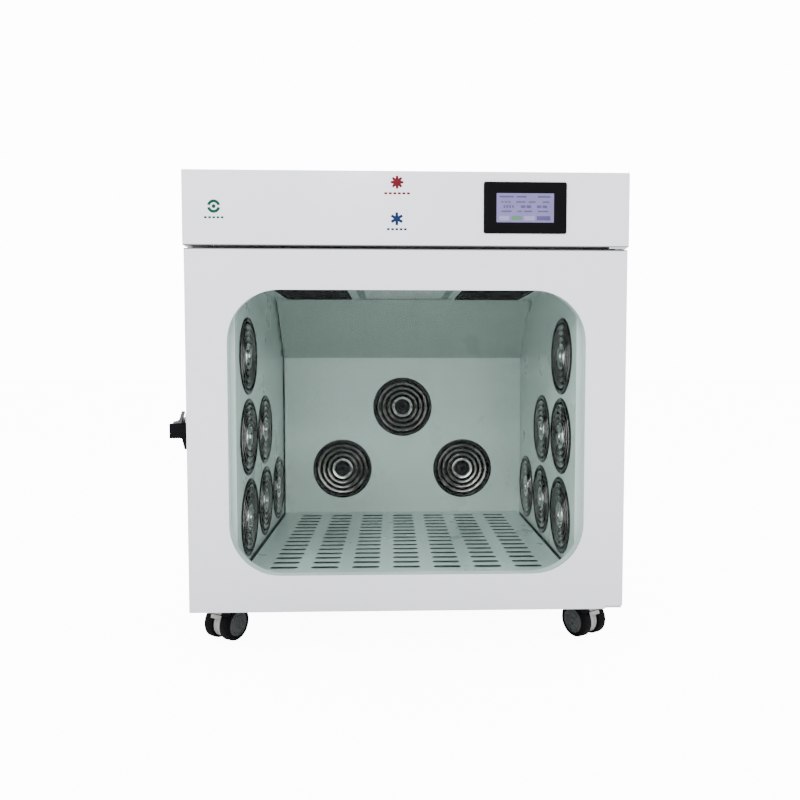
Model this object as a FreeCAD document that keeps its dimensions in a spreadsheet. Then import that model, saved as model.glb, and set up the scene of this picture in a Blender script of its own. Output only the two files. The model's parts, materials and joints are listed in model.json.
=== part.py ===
import FreeCAD, Part
import math
import os
import re
import Sketcher

# Ventilated drying cabinet with a glazed door, on four twin-wheel castors.
#
# Sketch and box coordinates are cabinet coordinates: x = 0 on the centre plane,
# y = 0 on the front face of the door, z = 0 under the base, +y to the back.
# ORIGIN moves them to the part's frame, whose origin is on the floor under the
# middle of the outer box.

DIMENSIONS = {
    # outer shell
    "hood_w": 760, "panel_w": 756, "depth": 670, "seam_z": 634, "top_z": 760, "sheet": 1.5,
    "flange": 20, "fascia_d": 30, "frame_y": 44, "frame_t": 2, "pan_rim": 18,
    # door and its window
    "door_low": 3.5, "door_high": 629.5, "door_t": 38, "win_half": 307, "win_low": 68,
    "win_high": 559.5, "win_round": 88, "glass_t": 6, "glass_y": 4.5, "glass_in": 14,
    "seal_in": 20, "seal_lip": 4, "seal_back": 13.5, "tunnel_in": 6,
    "gasket_half": 332, "gasket_low": 30, "gasket_high": 617, "gasket_w": 12, "gasket_gap": 0.3,
    # hinge
    "pivot_x": 362, "pivot_y": 14, "pin_rad": 4, "pin_fit": 0.05, "notch_x": 346, "notch_high": 9.5,
    "plate_t": 2.5, "block_low_top": 29.5, "block_high_low": 606, "pin_in": 20,
    # chamber
    "room_half": 304, "room_back": 548, "room_top": 590, "slope_y": 440, "fold_z": 454,
    "back_left": 300, "back_right": 303.5, "ceiling_gap": 8,
    "tray_low": 20, "tray_high": 45, "tray_rim": 8, "tray_t": 2,
    "grille_half": 296, "grille_front": 50, "grille_rear": 543.5, "floor_z": 57,
    "slot_pitch_x": 76, "slot_pitch_y": 30.4, "slot_len": 52, "slot_w": 15, "slot_front": 84,
    "lamp_half": 100, "lamp_front": 150, "lamp_rear": 380, "lamp_lip": 8, "lamp_t": 4, "lamp_can": 15,
    "return_in": 120, "return_out": 270, "return_front": 110, "return_rear": 420, "return_t": 2.5,
    "return_lap": 9, "bar_in": 14, "bar_pitch": 20, "bar_gap": 12,
    # round air outlets
    "vent_hole": 68, "vent_flange": 75, "vent_proud": 3, "vent_collar": 12, "ring_pitch": 12,
    "vent_col_a": 150, "vent_col_b": 309, "vent_col_c": 468,
    "vent_row_a": 450, "vent_row_b": 294, "vent_row_c": 138,
    "back_vent_x": 154, "back_vent_low": 170, "back_vent_high": 329,
    # touch screen in the fascia
    "hmi_x": 200, "hmi_z": 699, "bezel_w": 142, "bezel_hgt": 87, "bezel_proud": 2,
    "lcd_w": 98, "lcd_hgt": 49, "module_w": 130, "module_hgt": 76, "module_d": 18,
    # latch on the left side
    "latch_out": 33, "latch_x": 398, "latch_y": 62, "latch_pin": 3, "latch_front": 14,
    "latch_back": 80, "latch_low": 282, "block_low": 305.5, "block_top": 331, "lever_low": 332,
    # rear services
    "spigot_x": -150, "spigot_z": 697, "spigot_rad": 50, "spigot_len": 40, "flange_t": 2,
    "intake_x": 150, "intake_z": 170, "intake_w": 220, "intake_hgt": 130, "intake_lap": 12,
    "louvre_in": 16, "louvre_w": 6, "inlet_x": -280, "inlet_z": 110, "inlet_half": 25,
    # blower above the chamber
    "fan_y": 500, "fan_rad": 100, "fan_low": 620, "fan_high": 700, "wheel_rad": 84, "motor_rad": 45,
    # castors
    "castor_h": 80, "castor_x": 330, "castor_front": 114, "castor_rear": 572, "castor_turn": 28,
    "trail": 18, "tyre_rad": 31, "tyre_w": 20.5, "web_half": 8.5, "axle_rad": 4, "kingpin_rad": 5,
    "plate_half": 30, "screw_in": 23,
}
ORIGIN = ("(panel_w/2 + latch_out - hood_w/2)/2",
          "-(depth + flange_t + spigot_len - bezel_proud)/2",
          "castor_h")
LOCAL = ("0", "0", "0")

doc = FreeCAD.newDocument("drying_cabinet")
sheet = doc.addObject("Spreadsheet::Sheet", "dims")
for row, (alias, size) in enumerate(DIMENSIONS.items(), start=1):
    sheet.set("A%d" % row, alias)
    sheet.set("B%d" % row, str(size))
    sheet.setAlias("B%d" % row, alias)
doc.recompute()

NODES = []


# ---------------------------------------------------------------- helpers
def formula(text):
    """The expression with each driving dimension's name made a reference to the sheet."""
    def refer(word):
        return "dims." + word.group() if word.group() in DIMENSIONS else word.group()
    return re.sub(r"[a-z][a-z_0-9]*", refer, str(text))


def number(text):
    """The expression's present value."""
    found = sheet.evalExpression(formula(text))
    return float(getattr(found, "Value", found))


def bind(obj, prop, text):
    obj.setExpression(prop, formula(text))


def place(obj, spot, origin=ORIGIN):
    """Bind the object's position to three expressions, measured from the origin given."""
    for axis, start, offset in zip("xyz", origin, spot):
        bind(obj, "Placement.Base." + axis, "%s + (%s)" % (start, offset))


def node(obj, label):
    """Make the object a kept sub-part under its own name."""
    obj.Label = label
    NODES.append(obj)
    return obj


def box(x, y, z, origin=ORIGIN):
    """Box between low and high expressions along each axis."""
    made = doc.addObject("Part::Box", "block")
    for prop, (low, high) in zip(("Length", "Width", "Height"), (x, y, z)):
        bind(made, prop, "(%s) - (%s)" % (high, low))
    place(made, (x[0], y[0], z[0]), origin)
    return made


def rod(axis, centre, span, radius, origin=ORIGIN):
    """Cylinder along an axis; centre holds the other two coordinates in x, y, z order."""
    made = doc.addObject("Part::Cylinder", "rod")
    bind(made, "Radius", radius)
    bind(made, "Height", "(%s) - (%s)" % (span[1], span[0]))
    spot = {"x": (span[0], centre[0], centre[-1]),
            "y": (centre[0], span[0], centre[-1]),
            "z": (centre[0], centre[-1], span[0])}[axis]
    turn = {"x": FreeCAD.Rotation(FreeCAD.Vector(0, 1, 0), 90),
            "y": FreeCAD.Rotation(FreeCAD.Vector(1, 0, 0), -90),
            "z": FreeCAD.Rotation()}[axis]
    made.Placement = FreeCAD.Placement(FreeCAD.Vector(), turn)
    place(made, spot, origin)
    return made


def fuse(*shapes):
    if len(shapes) == 1:
        return shapes[0]
    made = doc.addObject("Part::MultiFuse", "joined")
    made.Shapes = list(shapes)
    return made


def cut(base, *tools):
    made = doc.addObject("Part::Cut", "cut")
    made.Base = base
    made.Tool = fuse(*tools)
    return made


def profile_along_y(depth, spot, *points):
    """Solid from a closed outline of (x, z) expressions, extruded towards the back."""
    drawn = doc.addObject("Sketcher::SketchObject", "outline")
    drawn.Placement = FreeCAD.Placement(FreeCAD.Vector(), FreeCAD.Rotation(FreeCAD.Vector(1, 0, 0), 90))
    place(drawn, spot)
    polygon(*points)(drawn)
    made = doc.addObject("Part::Extrusion", "profile")
    made.Base = drawn
    made.DirMode = "Custom"
    made.Dir = FreeCAD.Vector(0, 1, 0)
    made.Solid = True
    bind(made, "LengthFwd", depth)
    drawn.Visibility = False
    return made


def group(*pieces):
    made = doc.addObject("Part::Compound", "set")
    made.Links = list(pieces)
    return made


def body(label, spot=LOCAL, turn=None):
    """Empty PartDesign body whose sketches use cabinet coordinates unless it is moved."""
    made = doc.addObject("PartDesign::Body", label)
    if turn:
        made.Placement = FreeCAD.Placement(FreeCAD.Vector(), turn)
    place(made, spot)
    return node(made, label)


def sketch(owner, plane, start, draw):
    """Sketch on an origin plane of its body, moved along the plane's axis to start."""
    drawn = owner.newObject("Sketcher::SketchObject", "profile")
    planes = [item for item in owner.Origin.OriginFeatures if item.Role == plane]
    drawn.AttachmentSupport = [(planes[0], "")]
    drawn.MapMode = "FlatFace"
    sign = "-" if plane == "XZ_Plane" else ""
    bind(drawn, "AttachmentOffset.Base.z", "%s(%s)" % (sign, start))
    draw(drawn)
    return drawn


def extrude(owner, kind, plane, span, draw):
    """Pad or Pocket between two positions along the plane's axis, checked by its volume."""
    drawn = sketch(owner, plane, span[0], draw)
    before = owner.Tip.Shape.Volume if owner.Tip else 0.0
    made = owner.newObject("PartDesign::" + kind, kind.lower())
    made.Profile = drawn
    bind(made, "Length", "(%s) - (%s)" % (span[1], span[0]))
    made.Reversed = (kind == "Pad") == (plane == "XZ_Plane")
    drawn.Visibility = False
    doc.recompute()
    change = made.Shape.Volume - before
    assert change > 1.0 if kind == "Pad" else change < -1.0, (owner.Label, kind, change)
    return made


def revolve(owner, draw):
    """Revolution of a radius and height profile about the body's own z axis."""
    drawn = sketch(owner, "XZ_Plane", "0", draw)
    made = owner.newObject("PartDesign::Revolution", "turned")
    made.Profile = drawn
    made.ReferenceAxis = (drawn, ["V_Axis"])
    made.Angle = 360
    doc.recompute()
    return made


def pin_point(drawn, line, end, x, y):
    """Hold a sketch point at two expressions measured from the sketch's origin."""
    for kind, text in (("DistanceX", x), ("DistanceY", y)):
        index = drawn.addConstraint(Sketcher.Constraint(kind, -1, 1, line, end, number(text)))
        drawn.setExpression("Constraints[%d]" % index, formula(text))


def polygon(*points):
    """Closed straight-sided outline through points of two expressions each."""
    def draw(drawn):
        spots = [FreeCAD.Vector(number(x), number(y), 0) for x, y in points]
        first = drawn.GeometryCount
        count = len(points)
        for index in range(count):
            drawn.addGeometry(Part.LineSegment(spots[index], spots[(index + 1) % count]), False)
        for index in range(count):
            after = first + (index + 1) % count
            drawn.addConstraint(Sketcher.Constraint("Coincident", first + index, 2, after, 1))
            pin_point(drawn, first + index, 1, *points[index])
    return draw


def rectangle(x, y):
    return polygon((x[0], y[0]), (x[1], y[0]), (x[1], y[1]), (x[0], y[1]))


def circle(x, y, radius):
    def draw(drawn):
        spot = FreeCAD.Vector(number(x), number(y), 0)
        index = drawn.addGeometry(Part.Circle(spot, FreeCAD.Vector(0, 0, 1), number(radius)), False)
        pin_point(drawn, index, 3, x, y)
        hold = drawn.addConstraint(Sketcher.Constraint("Radius", index, number(radius)))
        drawn.setExpression("Constraints[%d]" % hold, formula(radius))
    return draw


def rounded(x, y, radius):
    """Rectangle with round corners: arc centres held in place, lines tangent to the arcs."""
    def draw(drawn):
        left, right, low, high, rad = [number(text) for text in (x[0], x[1], y[0], y[1], radius)]
        first = drawn.GeometryCount
        inner = [(left + rad, low + rad, 180), (right - rad, low + rad, 270),
                 (right - rad, high - rad, 0), (left + rad, high - rad, 90)]
        held = [("%s + (%s)" % (x[0], radius), "%s + (%s)" % (y[0], radius)),
                ("%s - (%s)" % (x[1], radius), "%s + (%s)" % (y[0], radius)),
                ("%s - (%s)" % (x[1], radius), "%s - (%s)" % (y[1], radius)),
                ("%s + (%s)" % (x[0], radius), "%s - (%s)" % (y[1], radius))]
        up = FreeCAD.Vector(0, 0, 1)
        for cx, cy, start in inner:
            ring = Part.Circle(FreeCAD.Vector(cx, cy, 0), up, rad)
            arc = Part.ArcOfCircle(ring, math.radians(start), math.radians(start + 90))
            drawn.addGeometry(arc, False)
        arcs = [drawn.Geometry[first + index] for index in range(4)]
        for index in range(4):
            here, there = arcs[index].EndPoint, arcs[(index + 1) % 4].StartPoint
            drawn.addGeometry(Part.LineSegment(here, there), False)
        for index in range(4):
            line, after = first + 4 + index, first + (index + 1) % 4
            drawn.addConstraint(Sketcher.Constraint("Tangent", first + index, 2, line, 1))
            drawn.addConstraint(Sketcher.Constraint("Tangent", line, 2, after, 1))
            pin_point(drawn, first + index, 3, *held[index])
        hold = drawn.addConstraint(Sketcher.Constraint("Radius", first, rad))
        drawn.setExpression("Constraints[%d]" % hold, formula(radius))
    return draw


def both(*draws):
    def draw(drawn):
        for item in draws:
            item(drawn)
    return draw


def window(grow):
    """The door window's outline, grown outward on every side."""
    return rounded(("-win_half - (%s)" % grow, "win_half + (%s)" % grow),
                   ("win_low - (%s)" % grow, "win_high + (%s)" % grow), "win_round + (%s)" % grow)


# ---------------------------------------------------------------- outer shell
def side_panel(label, side):
    """Folded pan: web outside, a flange turned in along each of its four edges."""
    def span(outer, inner):
        return (outer, inner) if side < 0 else ("-(%s)" % inner, "-(%s)" % outer)
    outer = box(span("-panel_w/2", "-panel_w/2 + flange"), ("frame_y", "depth - sheet"),
                ("0", "seam_z"))
    hollow = box(span("-panel_w/2 + sheet", "-panel_w/2 + flange"),
                 ("frame_y + sheet", "depth - 2*sheet"), ("sheet", "seam_z - sheet"))
    node(cut(outer, hollow), label)


def shell():
    side_panel("left_side_panel", -1)
    side_panel("right_side_panel", 1)

    inside = ("-panel_w/2 + sheet", "panel_w/2 - sheet")
    pan = box(inside, ("frame_y + sheet + frame_t", "depth - 2*sheet"), ("sheet", "pan_rim"))
    hollow = box(("-panel_w/2 + 2*sheet", "panel_w/2 - 2*sheet"),
                 ("frame_y + 2*sheet + frame_t", "depth - 3*sheet"), ("2*sheet", "pan_rim"))
    node(cut(pan, hollow), "base_pan")

    outer = box(("-hood_w/2", "hood_w/2"), ("fascia_d", "depth"), ("seam_z", "top_z"))
    hollow = box(("-hood_w/2 + sheet", "hood_w/2 - sheet"), ("fascia_d", "depth - sheet"),
                 ("seam_z", "top_z - sheet"))
    outlet = rod("y", ("spigot_x", "spigot_z"), ("depth - 5", "depth + 5"), "spigot_rad - sheet")
    node(cut(outer, hollow, outlet), "top_hood")

    outer = box(("-hood_w/2", "hood_w/2"), ("0", "fascia_d"), ("seam_z", "top_z"))
    hollow = box(("-hood_w/2 + sheet", "hood_w/2 - sheet"), ("sheet", "fascia_d"),
                 ("seam_z + sheet", "top_z - sheet"))
    mouth = box(("hmi_x - module_w/2", "hmi_x + module_w/2"), ("-1", "5"),
                ("hmi_z - module_hgt/2", "hmi_z + module_hgt/2"))
    node(cut(outer, hollow, mouth), "control_fascia")

    panel = box(("-panel_w/2", "panel_w/2"), ("depth - sheet", "depth"), ("0", "seam_z"))
    intake = box(("intake_x - intake_w/2 + intake_lap", "intake_x + intake_w/2 - intake_lap"),
                 ("depth - 5", "depth + 5"),
                 ("intake_z - intake_hgt/2 + intake_lap", "intake_z + intake_hgt/2 - intake_lap"))
    socket = box(("inlet_x - 14", "inlet_x + 14"), ("depth - 5", "depth + 5"),
                 ("inlet_z - 12", "inlet_z + 12"))
    node(cut(panel, intake, socket), "rear_panel")

    frame = body("front_frame")
    span = ("frame_y + sheet", "frame_y + sheet + frame_t")
    extrude(frame, "Pad", "XZ_Plane", span, rectangle(inside, ("sheet", "seam_z - sheet")))
    extrude(frame, "Pocket", "XZ_Plane", span,
            rounded(("-room_half", "room_half"), ("floor_z", "room_top"), "20"))


# ---------------------------------------------------------------- chamber
VENT_GRID = (("vent_col_a", ("vent_row_a", "vent_row_b", "vent_row_c")),
             ("vent_col_b", ("vent_row_b", "vent_row_c")),
             ("vent_col_c", ("vent_row_c",)))
BACK_VENTS = (("0", "back_vent_high"), ("-back_vent_x", "back_vent_low"),
              ("back_vent_x", "back_vent_low"))
WALL_START = "frame_y + sheet + frame_t"


def side_vents():
    return [(column, row) for column, rows in VENT_GRID for row in rows]


def chamber_wall(label, side):
    span = ("-room_half - sheet", "-room_half") if side < 0 else ("room_half", "room_half + sheet")
    reach = ("-room_half - 5", "-room_half + 5") if side < 0 else ("room_half - 5", "room_half + 5")
    wall = box(span, (WALL_START, "room_back + sheet"), ("tray_low", "room_top"))
    holes = [rod("x", spot, reach, "vent_hole") for spot in side_vents()]
    node(cut(wall, *holes), label)


def slotted_plate(side):
    """Return-air grille: a plate under the ceiling with cross slots."""
    low, high = ("return_in", "return_out") if side > 0 else ("-return_out", "-return_in")
    plate = box((low, high), ("return_front", "return_rear"), ("room_top - return_t", "room_top"))
    slots = []
    for index in range(14):
        start = "return_front + bar_in + %d*bar_pitch" % index
        slots.append(box((low + " + return_lap", high + " - return_lap"), (start, start + " + bar_gap"),
                         ("room_top - return_t - 1", "room_top + 1")))
    return cut(plate, *slots)


def chamber():
    chamber_wall("chamber_left_wall", -1)
    chamber_wall("chamber_right_wall", 1)

    back = body("chamber_rear_wall", ("-back_left", "0", "0"))
    rise = "(room_top - fold_z)"
    run = "(room_back - slope_y)"
    slant = "sheet*sqrt(%s^2 + %s^2)/%s" % (rise, run, rise)
    outline = polygon(("room_back", "tray_low"), ("room_back + sheet", "tray_low"),
                      ("room_back + sheet", "fold_z + (%s - sheet)*%s/%s" % (slant, rise, run)),
                      ("slope_y + " + slant, "room_top"), ("slope_y", "room_top"),
                      ("room_back", "fold_z"))
    extrude(back, "Pad", "YZ_Plane", ("0", "back_left + back_right"), outline)
    holes = [circle("back_left + (%s)" % x, z, "vent_hole") for x, z in BACK_VENTS]
    extrude(back, "Pocket", "XZ_Plane", ("room_back - 5", "room_back + 5"), both(*holes))

    ceiling = box(("-room_half - sheet", "room_half + sheet"), (WALL_START, "slope_y - ceiling_gap"),
                  ("room_top", "room_top + sheet"))
    deep = ("room_top - 5", "room_top + 5")
    in_lamp = "lamp_lip - 1"
    lamp_mouth = box(("-lamp_half + " + in_lamp, "lamp_half - (%s)" % in_lamp),
                     ("lamp_front + " + in_lamp, "lamp_rear - (%s)" % in_lamp), deep)
    along = ("return_front + return_lap + 1", "return_rear - return_lap - 1")
    near, far = "return_in + return_lap - 1", "return_out - return_lap + 1"
    air_mouths = [box((near, far), along, deep), box(("-(%s)" % far, "-(%s)" % near), along, deep)]
    node(cut(ceiling, lamp_mouth, *air_mouths), "chamber_ceiling")
    lip = box(("-lamp_half", "lamp_half"), ("lamp_front", "lamp_rear"), ("room_top - lamp_t", "room_top"))
    can = box(("-lamp_half + lamp_lip", "lamp_half - lamp_lip"),
              ("lamp_front + lamp_lip", "lamp_rear - lamp_lip"), ("room_top", "room_top + lamp_can"))
    node(fuse(lip, can), "ceiling_lamp")
    node(group(slotted_plate(-1), slotted_plate(1)), "return_air_grilles")

    tray = box(("-room_half", "room_half"), (WALL_START, "room_back"), ("tray_low", "tray_high"))
    basin = box(("-room_half + tray_rim", "room_half - tray_rim"),
                (WALL_START + " + tray_rim", "room_back - tray_rim"),
                ("tray_low + tray_t", "tray_high"))
    node(cut(tray, basin), "drip_tray")

    grille = body("floor_grille")
    extrude(grille, "Pad", "XY_Plane", ("tray_high", "floor_z"),
            rectangle(("-grille_half", "grille_half"), ("grille_front", "grille_rear")))
    extrude(grille, "Pocket", "XY_Plane", ("tray_high", "floor_z - 2"),
            rectangle(("-grille_half + 2", "grille_half - 2"),
                      ("grille_front + 2", "grille_rear - 2")))
    slot = rounded(("-3*slot_pitch_x - slot_len/2", "-3*slot_pitch_x + slot_len/2"),
                   ("slot_front - slot_w/2", "slot_front + slot_w/2"), "slot_w/2 - 0.1")
    first = extrude(grille, "Pocket", "XY_Plane", ("floor_z - 4", "floor_z + 1"), slot)
    before = grille.Shape.Volume
    rows = []
    for axis, pitch, count in (("H_Axis", "slot_pitch_x", 7), ("V_Axis", "slot_pitch_y", 15)):
        row = grille.newObject("PartDesign::LinearPattern", "row")
        row.Direction = (first.Profile[0], [axis])
        bind(row, "Length", "%s*%d" % (pitch, count - 1))
        row.Occurrences = count
        rows.append(row)
    pattern = grille.newObject("PartDesign::MultiTransform", "slots")
    pattern.Originals = [first]
    pattern.Transformations = rows
    grille.Tip = pattern
    doc.recompute()
    one = number("slot_len*slot_w*2")
    assert before - grille.Shape.Volume > 90 * one, "floor slots were not repeated"


# ---------------------------------------------------------------- air outlets
def air_outlet(label, spot, turn):
    """Round outlet: flange and collar, four slanted rings and a boss on two cross bars."""
    vent = body(label, spot, turn)
    revolve(vent, polygon(("vent_flange", "0"), ("vent_flange", "1.2"), ("vent_flange - 1.5", "vent_proud"),
                          ("vent_hole - 2", "vent_proud"), ("vent_hole - 4", "1"),
                          ("vent_hole - 4", "-vent_collar"), ("vent_hole - 0.5", "-vent_collar"),
                          ("vent_hole - 0.5", "0")))
    reach, half = "vent_hole - 3", "2"
    for x, y in (((("-(%s)" % reach), reach), ("-" + half, half)),
                 (("-" + half, half), (("-(%s)" % reach), reach))):
        extrude(vent, "Pad", "XY_Plane", ("-vent_collar + 2", "-5.5"), rectangle(x, y))
    profiles = [polygon(("0", "-6"), ("9", "-6"), ("9", "0"), ("6", "2.2"), ("0", "2.8"))]
    for ring in range(4):
        root = "16 + %d*ring_pitch" % ring
        profiles.append(polygon((root, "-6"), (root + " + 2", "-6"), (root + " + 7", "1"),
                                (root + " + 5", "1")))
    revolve(vent, both(*profiles))


def air_outlets():
    ahead = FreeCAD.Rotation(FreeCAD.Vector(1, 0, 0), 90)
    rightward = FreeCAD.Rotation(FreeCAD.Vector(0, 1, 0), 90)
    leftward = FreeCAD.Rotation(FreeCAD.Vector(0, 1, 0), -90)
    for index, (x, z) in enumerate(BACK_VENTS, start=1):
        air_outlet("vent_rear_%d" % index, (x, "room_back", z), ahead)
    for index, (y, z) in enumerate(side_vents(), start=1):
        air_outlet("vent_left_%d" % index, ("-room_half", y, z), rightward)
        air_outlet("vent_right_%d" % index, ("room_half", y, z), leftward)


# ---------------------------------------------------------------- touch screen and electronics
def controls():
    wide = ("hmi_x - bezel_w/2", "hmi_x + bezel_w/2")
    tall = ("hmi_z - bezel_hgt/2", "hmi_z + bezel_hgt/2")
    bezel = body("touch_screen_bezel")
    extrude(bezel, "Pad", "XZ_Plane", ("-bezel_proud", "0"), rounded(wide, tall, "3"))
    extrude(bezel, "Pocket", "XZ_Plane", ("-bezel_proud", "0"),
            rectangle(("hmi_x - lcd_w/2", "hmi_x + lcd_w/2"), ("hmi_z - lcd_hgt/2", "hmi_z + lcd_hgt/2")))
    node(box(("hmi_x - module_w/2 + 1", "hmi_x + module_w/2 - 1"), ("0", "module_d"),
             ("hmi_z - module_hgt/2 + 1", "hmi_z + module_hgt/2 - 1")), "touch_screen_display")

    board = [box(("-200", "-60"), ("10", "12"), ("655", "740")),
             box(("-190", "-70"), ("12", "24"), ("660", "672")),
             box(("-150", "-110"), ("12", "22"), ("690", "725"))]
    for x in ("-194", "-66"):
        for z in ("661", "734"):
            board.append(rod("y", (x, z), ("sheet", "10.5"), "3"))
    node(fuse(*board), "control_board")


# ---------------------------------------------------------------- door
def door():
    wide, tall = ("-panel_w/2", "panel_w/2"), ("door_low", "door_high")
    back = "door_t - sheet"
    notch = rectangle(("notch_x", "panel_w/2 + 1"), ("door_low - 1", "notch_high"))

    outer = body("door_outer_skin")
    extrude(outer, "Pad", "XZ_Plane", ("0", back), rectangle(wide, tall))
    extrude(outer, "Pocket", "XZ_Plane", ("sheet", back),
            rectangle(("-panel_w/2 + sheet", "panel_w/2 - sheet"),
                      ("door_low + sheet", "door_high - sheet")))
    extrude(outer, "Pocket", "XZ_Plane", ("0", "sheet"), window("0"))
    extrude(outer, "Pocket", "XZ_Plane", ("0", back), notch)
    extrude(outer, "Pocket", "XY_Plane", ("door_high - sheet", "door_high"),
            circle("pivot_x", "pivot_y", "pin_rad + 2"))

    inner = body("door_inner_skin")
    extrude(inner, "Pad", "XZ_Plane", (back, "door_t"), both(rectangle(wide, tall), window("tunnel_in")))
    extrude(inner, "Pad", "XZ_Plane", ("seal_back", back),
            both(window("tunnel_in + sheet"), window("tunnel_in")))
    extrude(inner, "Pocket", "XZ_Plane", (back, "door_t"), notch)

    glass = body("door_glass")
    extrude(glass, "Pad", "XZ_Plane", ("glass_y", "glass_y + glass_t"), window("glass_in"))

    seal = body("glass_gasket")
    extrude(seal, "Pad", "XZ_Plane", ("sheet", "seal_back"), both(window("seal_in"), window("seal_lip")))
    extrude(seal, "Pocket", "XZ_Plane", ("glass_y", "glass_y + glass_t"), window("glass_in"))

    gasket = body("door_gasket")
    ring = rounded(("-gasket_half", "gasket_half"), ("gasket_low", "gasket_high"), "30")
    hole = rounded(("-gasket_half + gasket_w", "gasket_half - gasket_w"),
                   ("gasket_low + gasket_w", "gasket_high - gasket_w"), "30 - gasket_w")
    extrude(gasket, "Pad", "XZ_Plane", ("door_t", "frame_y + sheet - gasket_gap"), both(ring, hole))

    pivot = ("pivot_x", "pivot_y")
    blocks = []
    for low, high in (("notch_high", "block_low_top"), ("block_high_low", "door_high - sheet")):
        block = box(("notch_x", "panel_w/2 - sheet"), ("sheet", back), (low, high))
        blocks.append(cut(block, rod("z", pivot, (low + " - 1", high + " + 1"), "pin_rad + pin_fit")))
    node(group(*blocks), "hinge_bushes")

    across = ("notch_x", "panel_w/2 - 2")
    upper = fuse(box(across, ("2", "fascia_d"), ("seam_z - plate_t", "seam_z")),
                 rod("z", pivot, ("seam_z - plate_t - pin_in", "seam_z"), "pin_rad"))
    lower = fuse(box(across, ("2", "frame_y"), ("notch_high - 4", "notch_high - 4 + plate_t")),
                 rod("z", pivot, ("notch_high - 4", "notch_high - 4 + plate_t + pin_in"), "pin_rad"))
    node(group(upper, lower), "hinge_pivot_plates")


# ---------------------------------------------------------------- latch on the left side
def latch():
    """Base block with a tapered leg beside the door, a lever with a claw, and the door's keeper."""
    side, pin = "-panel_w/2", ("-latch_x", "latch_y")
    outside = side + " - latch_out"
    reach = "(latch_back - latch_front)"
    spot = ("0", "latch_front", "0")
    block_in = side + " - 12"

    leg = profile_along_y(reach, spot, (block_in, "block_top - 3"), (side + " - 7", "block_top - 3"),
                         (side + " - 3.5", "latch_low + 4.5"), (side + " - 7.5", "latch_low + 4.5"),
                         (block_in, "block_low"))
    base = fuse(box((side + " - 3", side), ("frame_y + 2", "latch_back"), ("latch_low", "block_top - 1")),
                box((outside, block_in), ("latch_front", "latch_back"), ("block_low", "block_top")),
                box((block_in, side + " - 2"), ("frame_y + 4", "latch_back"), ("block_low", "block_top - 3")),
                leg,
                rod("z", pin, ("block_top", "lever_low + 7"), "latch_pin"),
                rod("z", pin, ("lever_low + 5.3", "lever_low + 7"), "5"))
    node(base, "latch_base")

    link = box((side + " - 26", side + " - 12"), ("latch_front", "latch_y + 4"),
               ("lever_low", "lever_low + 3"))
    wedge = profile_along_y("36", spot, (side + " - 26", "lever_low"), (side + " - 12", "lever_low"),
                           (side + " - 11", "lever_low + 7"), (side + " - 15", "lever_low + 7"))
    claw = profile_along_y("8", ("0", "latch_front - 2", "0"), (side + " - 16", "lever_low + 4"),
                          (side + " - 11", "lever_low + 3"), (side + " - 6.5", "lever_low + 20"),
                          (side + " - 10.5", "lever_low + 21"))
    lever = fuse(link, wedge, claw, rod("z", pin, ("lever_low", "lever_low + 5"), "8"))
    node(cut(lever, rod("z", pin, ("lever_low - 1", "lever_low + 6"), "latch_pin + pin_fit")),
         "latch_lever")

    node(fuse(box((side + " - 3", side), ("8", "34"), ("333", "349")),
              box((side + " - 7", side + " - 3"), ("22", "30"), ("336", "346"))),
         "latch_keeper")


# ---------------------------------------------------------------- rear services
def services():
    low, high = "depth", "depth + flange_t"
    flange = box(("spigot_x - 62", "spigot_x + 62"), (low, high), ("spigot_z - 60", "spigot_z + 60"))
    tube = rod("y", ("spigot_x", "spigot_z"), (low, high + " + spigot_len"), "spigot_rad")
    bore = rod("y", ("spigot_x", "spigot_z"), (low + " - 1", high + " + spigot_len + 1"),
               "spigot_rad - sheet")
    node(cut(fuse(flange, tube), bore), "exhaust_spigot")

    plate = box(("intake_x - intake_w/2", "intake_x + intake_w/2"), (low, high),
                ("intake_z - intake_hgt/2", "intake_z + intake_hgt/2"))
    slots = [box(("intake_x - intake_w/2 + louvre_in", "intake_x + intake_w/2 - louvre_in"),
                 (low + " - 1", high + " + 1"),
                 ("intake_z + %g" % offset, "intake_z + %g + louvre_w" % offset))
             for offset in range(-48, 45, 13)]
    node(cut(plate, *slots), "intake_grille")

    rim = box(("inlet_x - inlet_half", "inlet_x + inlet_half"), (low, high),
              ("inlet_z - 15", "inlet_z + 15"))
    can = box(("inlet_x - 13.5", "inlet_x + 13.5"), (low + " - 22", low),
              ("inlet_z - 11.5", "inlet_z + 11.5"))
    mouth = box(("inlet_x - 11.5", "inlet_x + 11.5"), (low + " - 16", high + " + 1"),
                ("inlet_z - 8.5", "inlet_z + 8.5"))
    pins = []
    for x, z in ((-7, -2), (0, 3), (7, -2)):
        pins.append(box(("inlet_x + %g" % (x - 1), "inlet_x + %g" % (x + 1)),
                        (low + " - 16.5", low + " - 2"),
                        ("inlet_z + %g" % (z - 2), "inlet_z + %g" % (z + 2))))
    node(fuse(cut(fuse(rim, can), mouth), *pins), "power_inlet")


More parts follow.
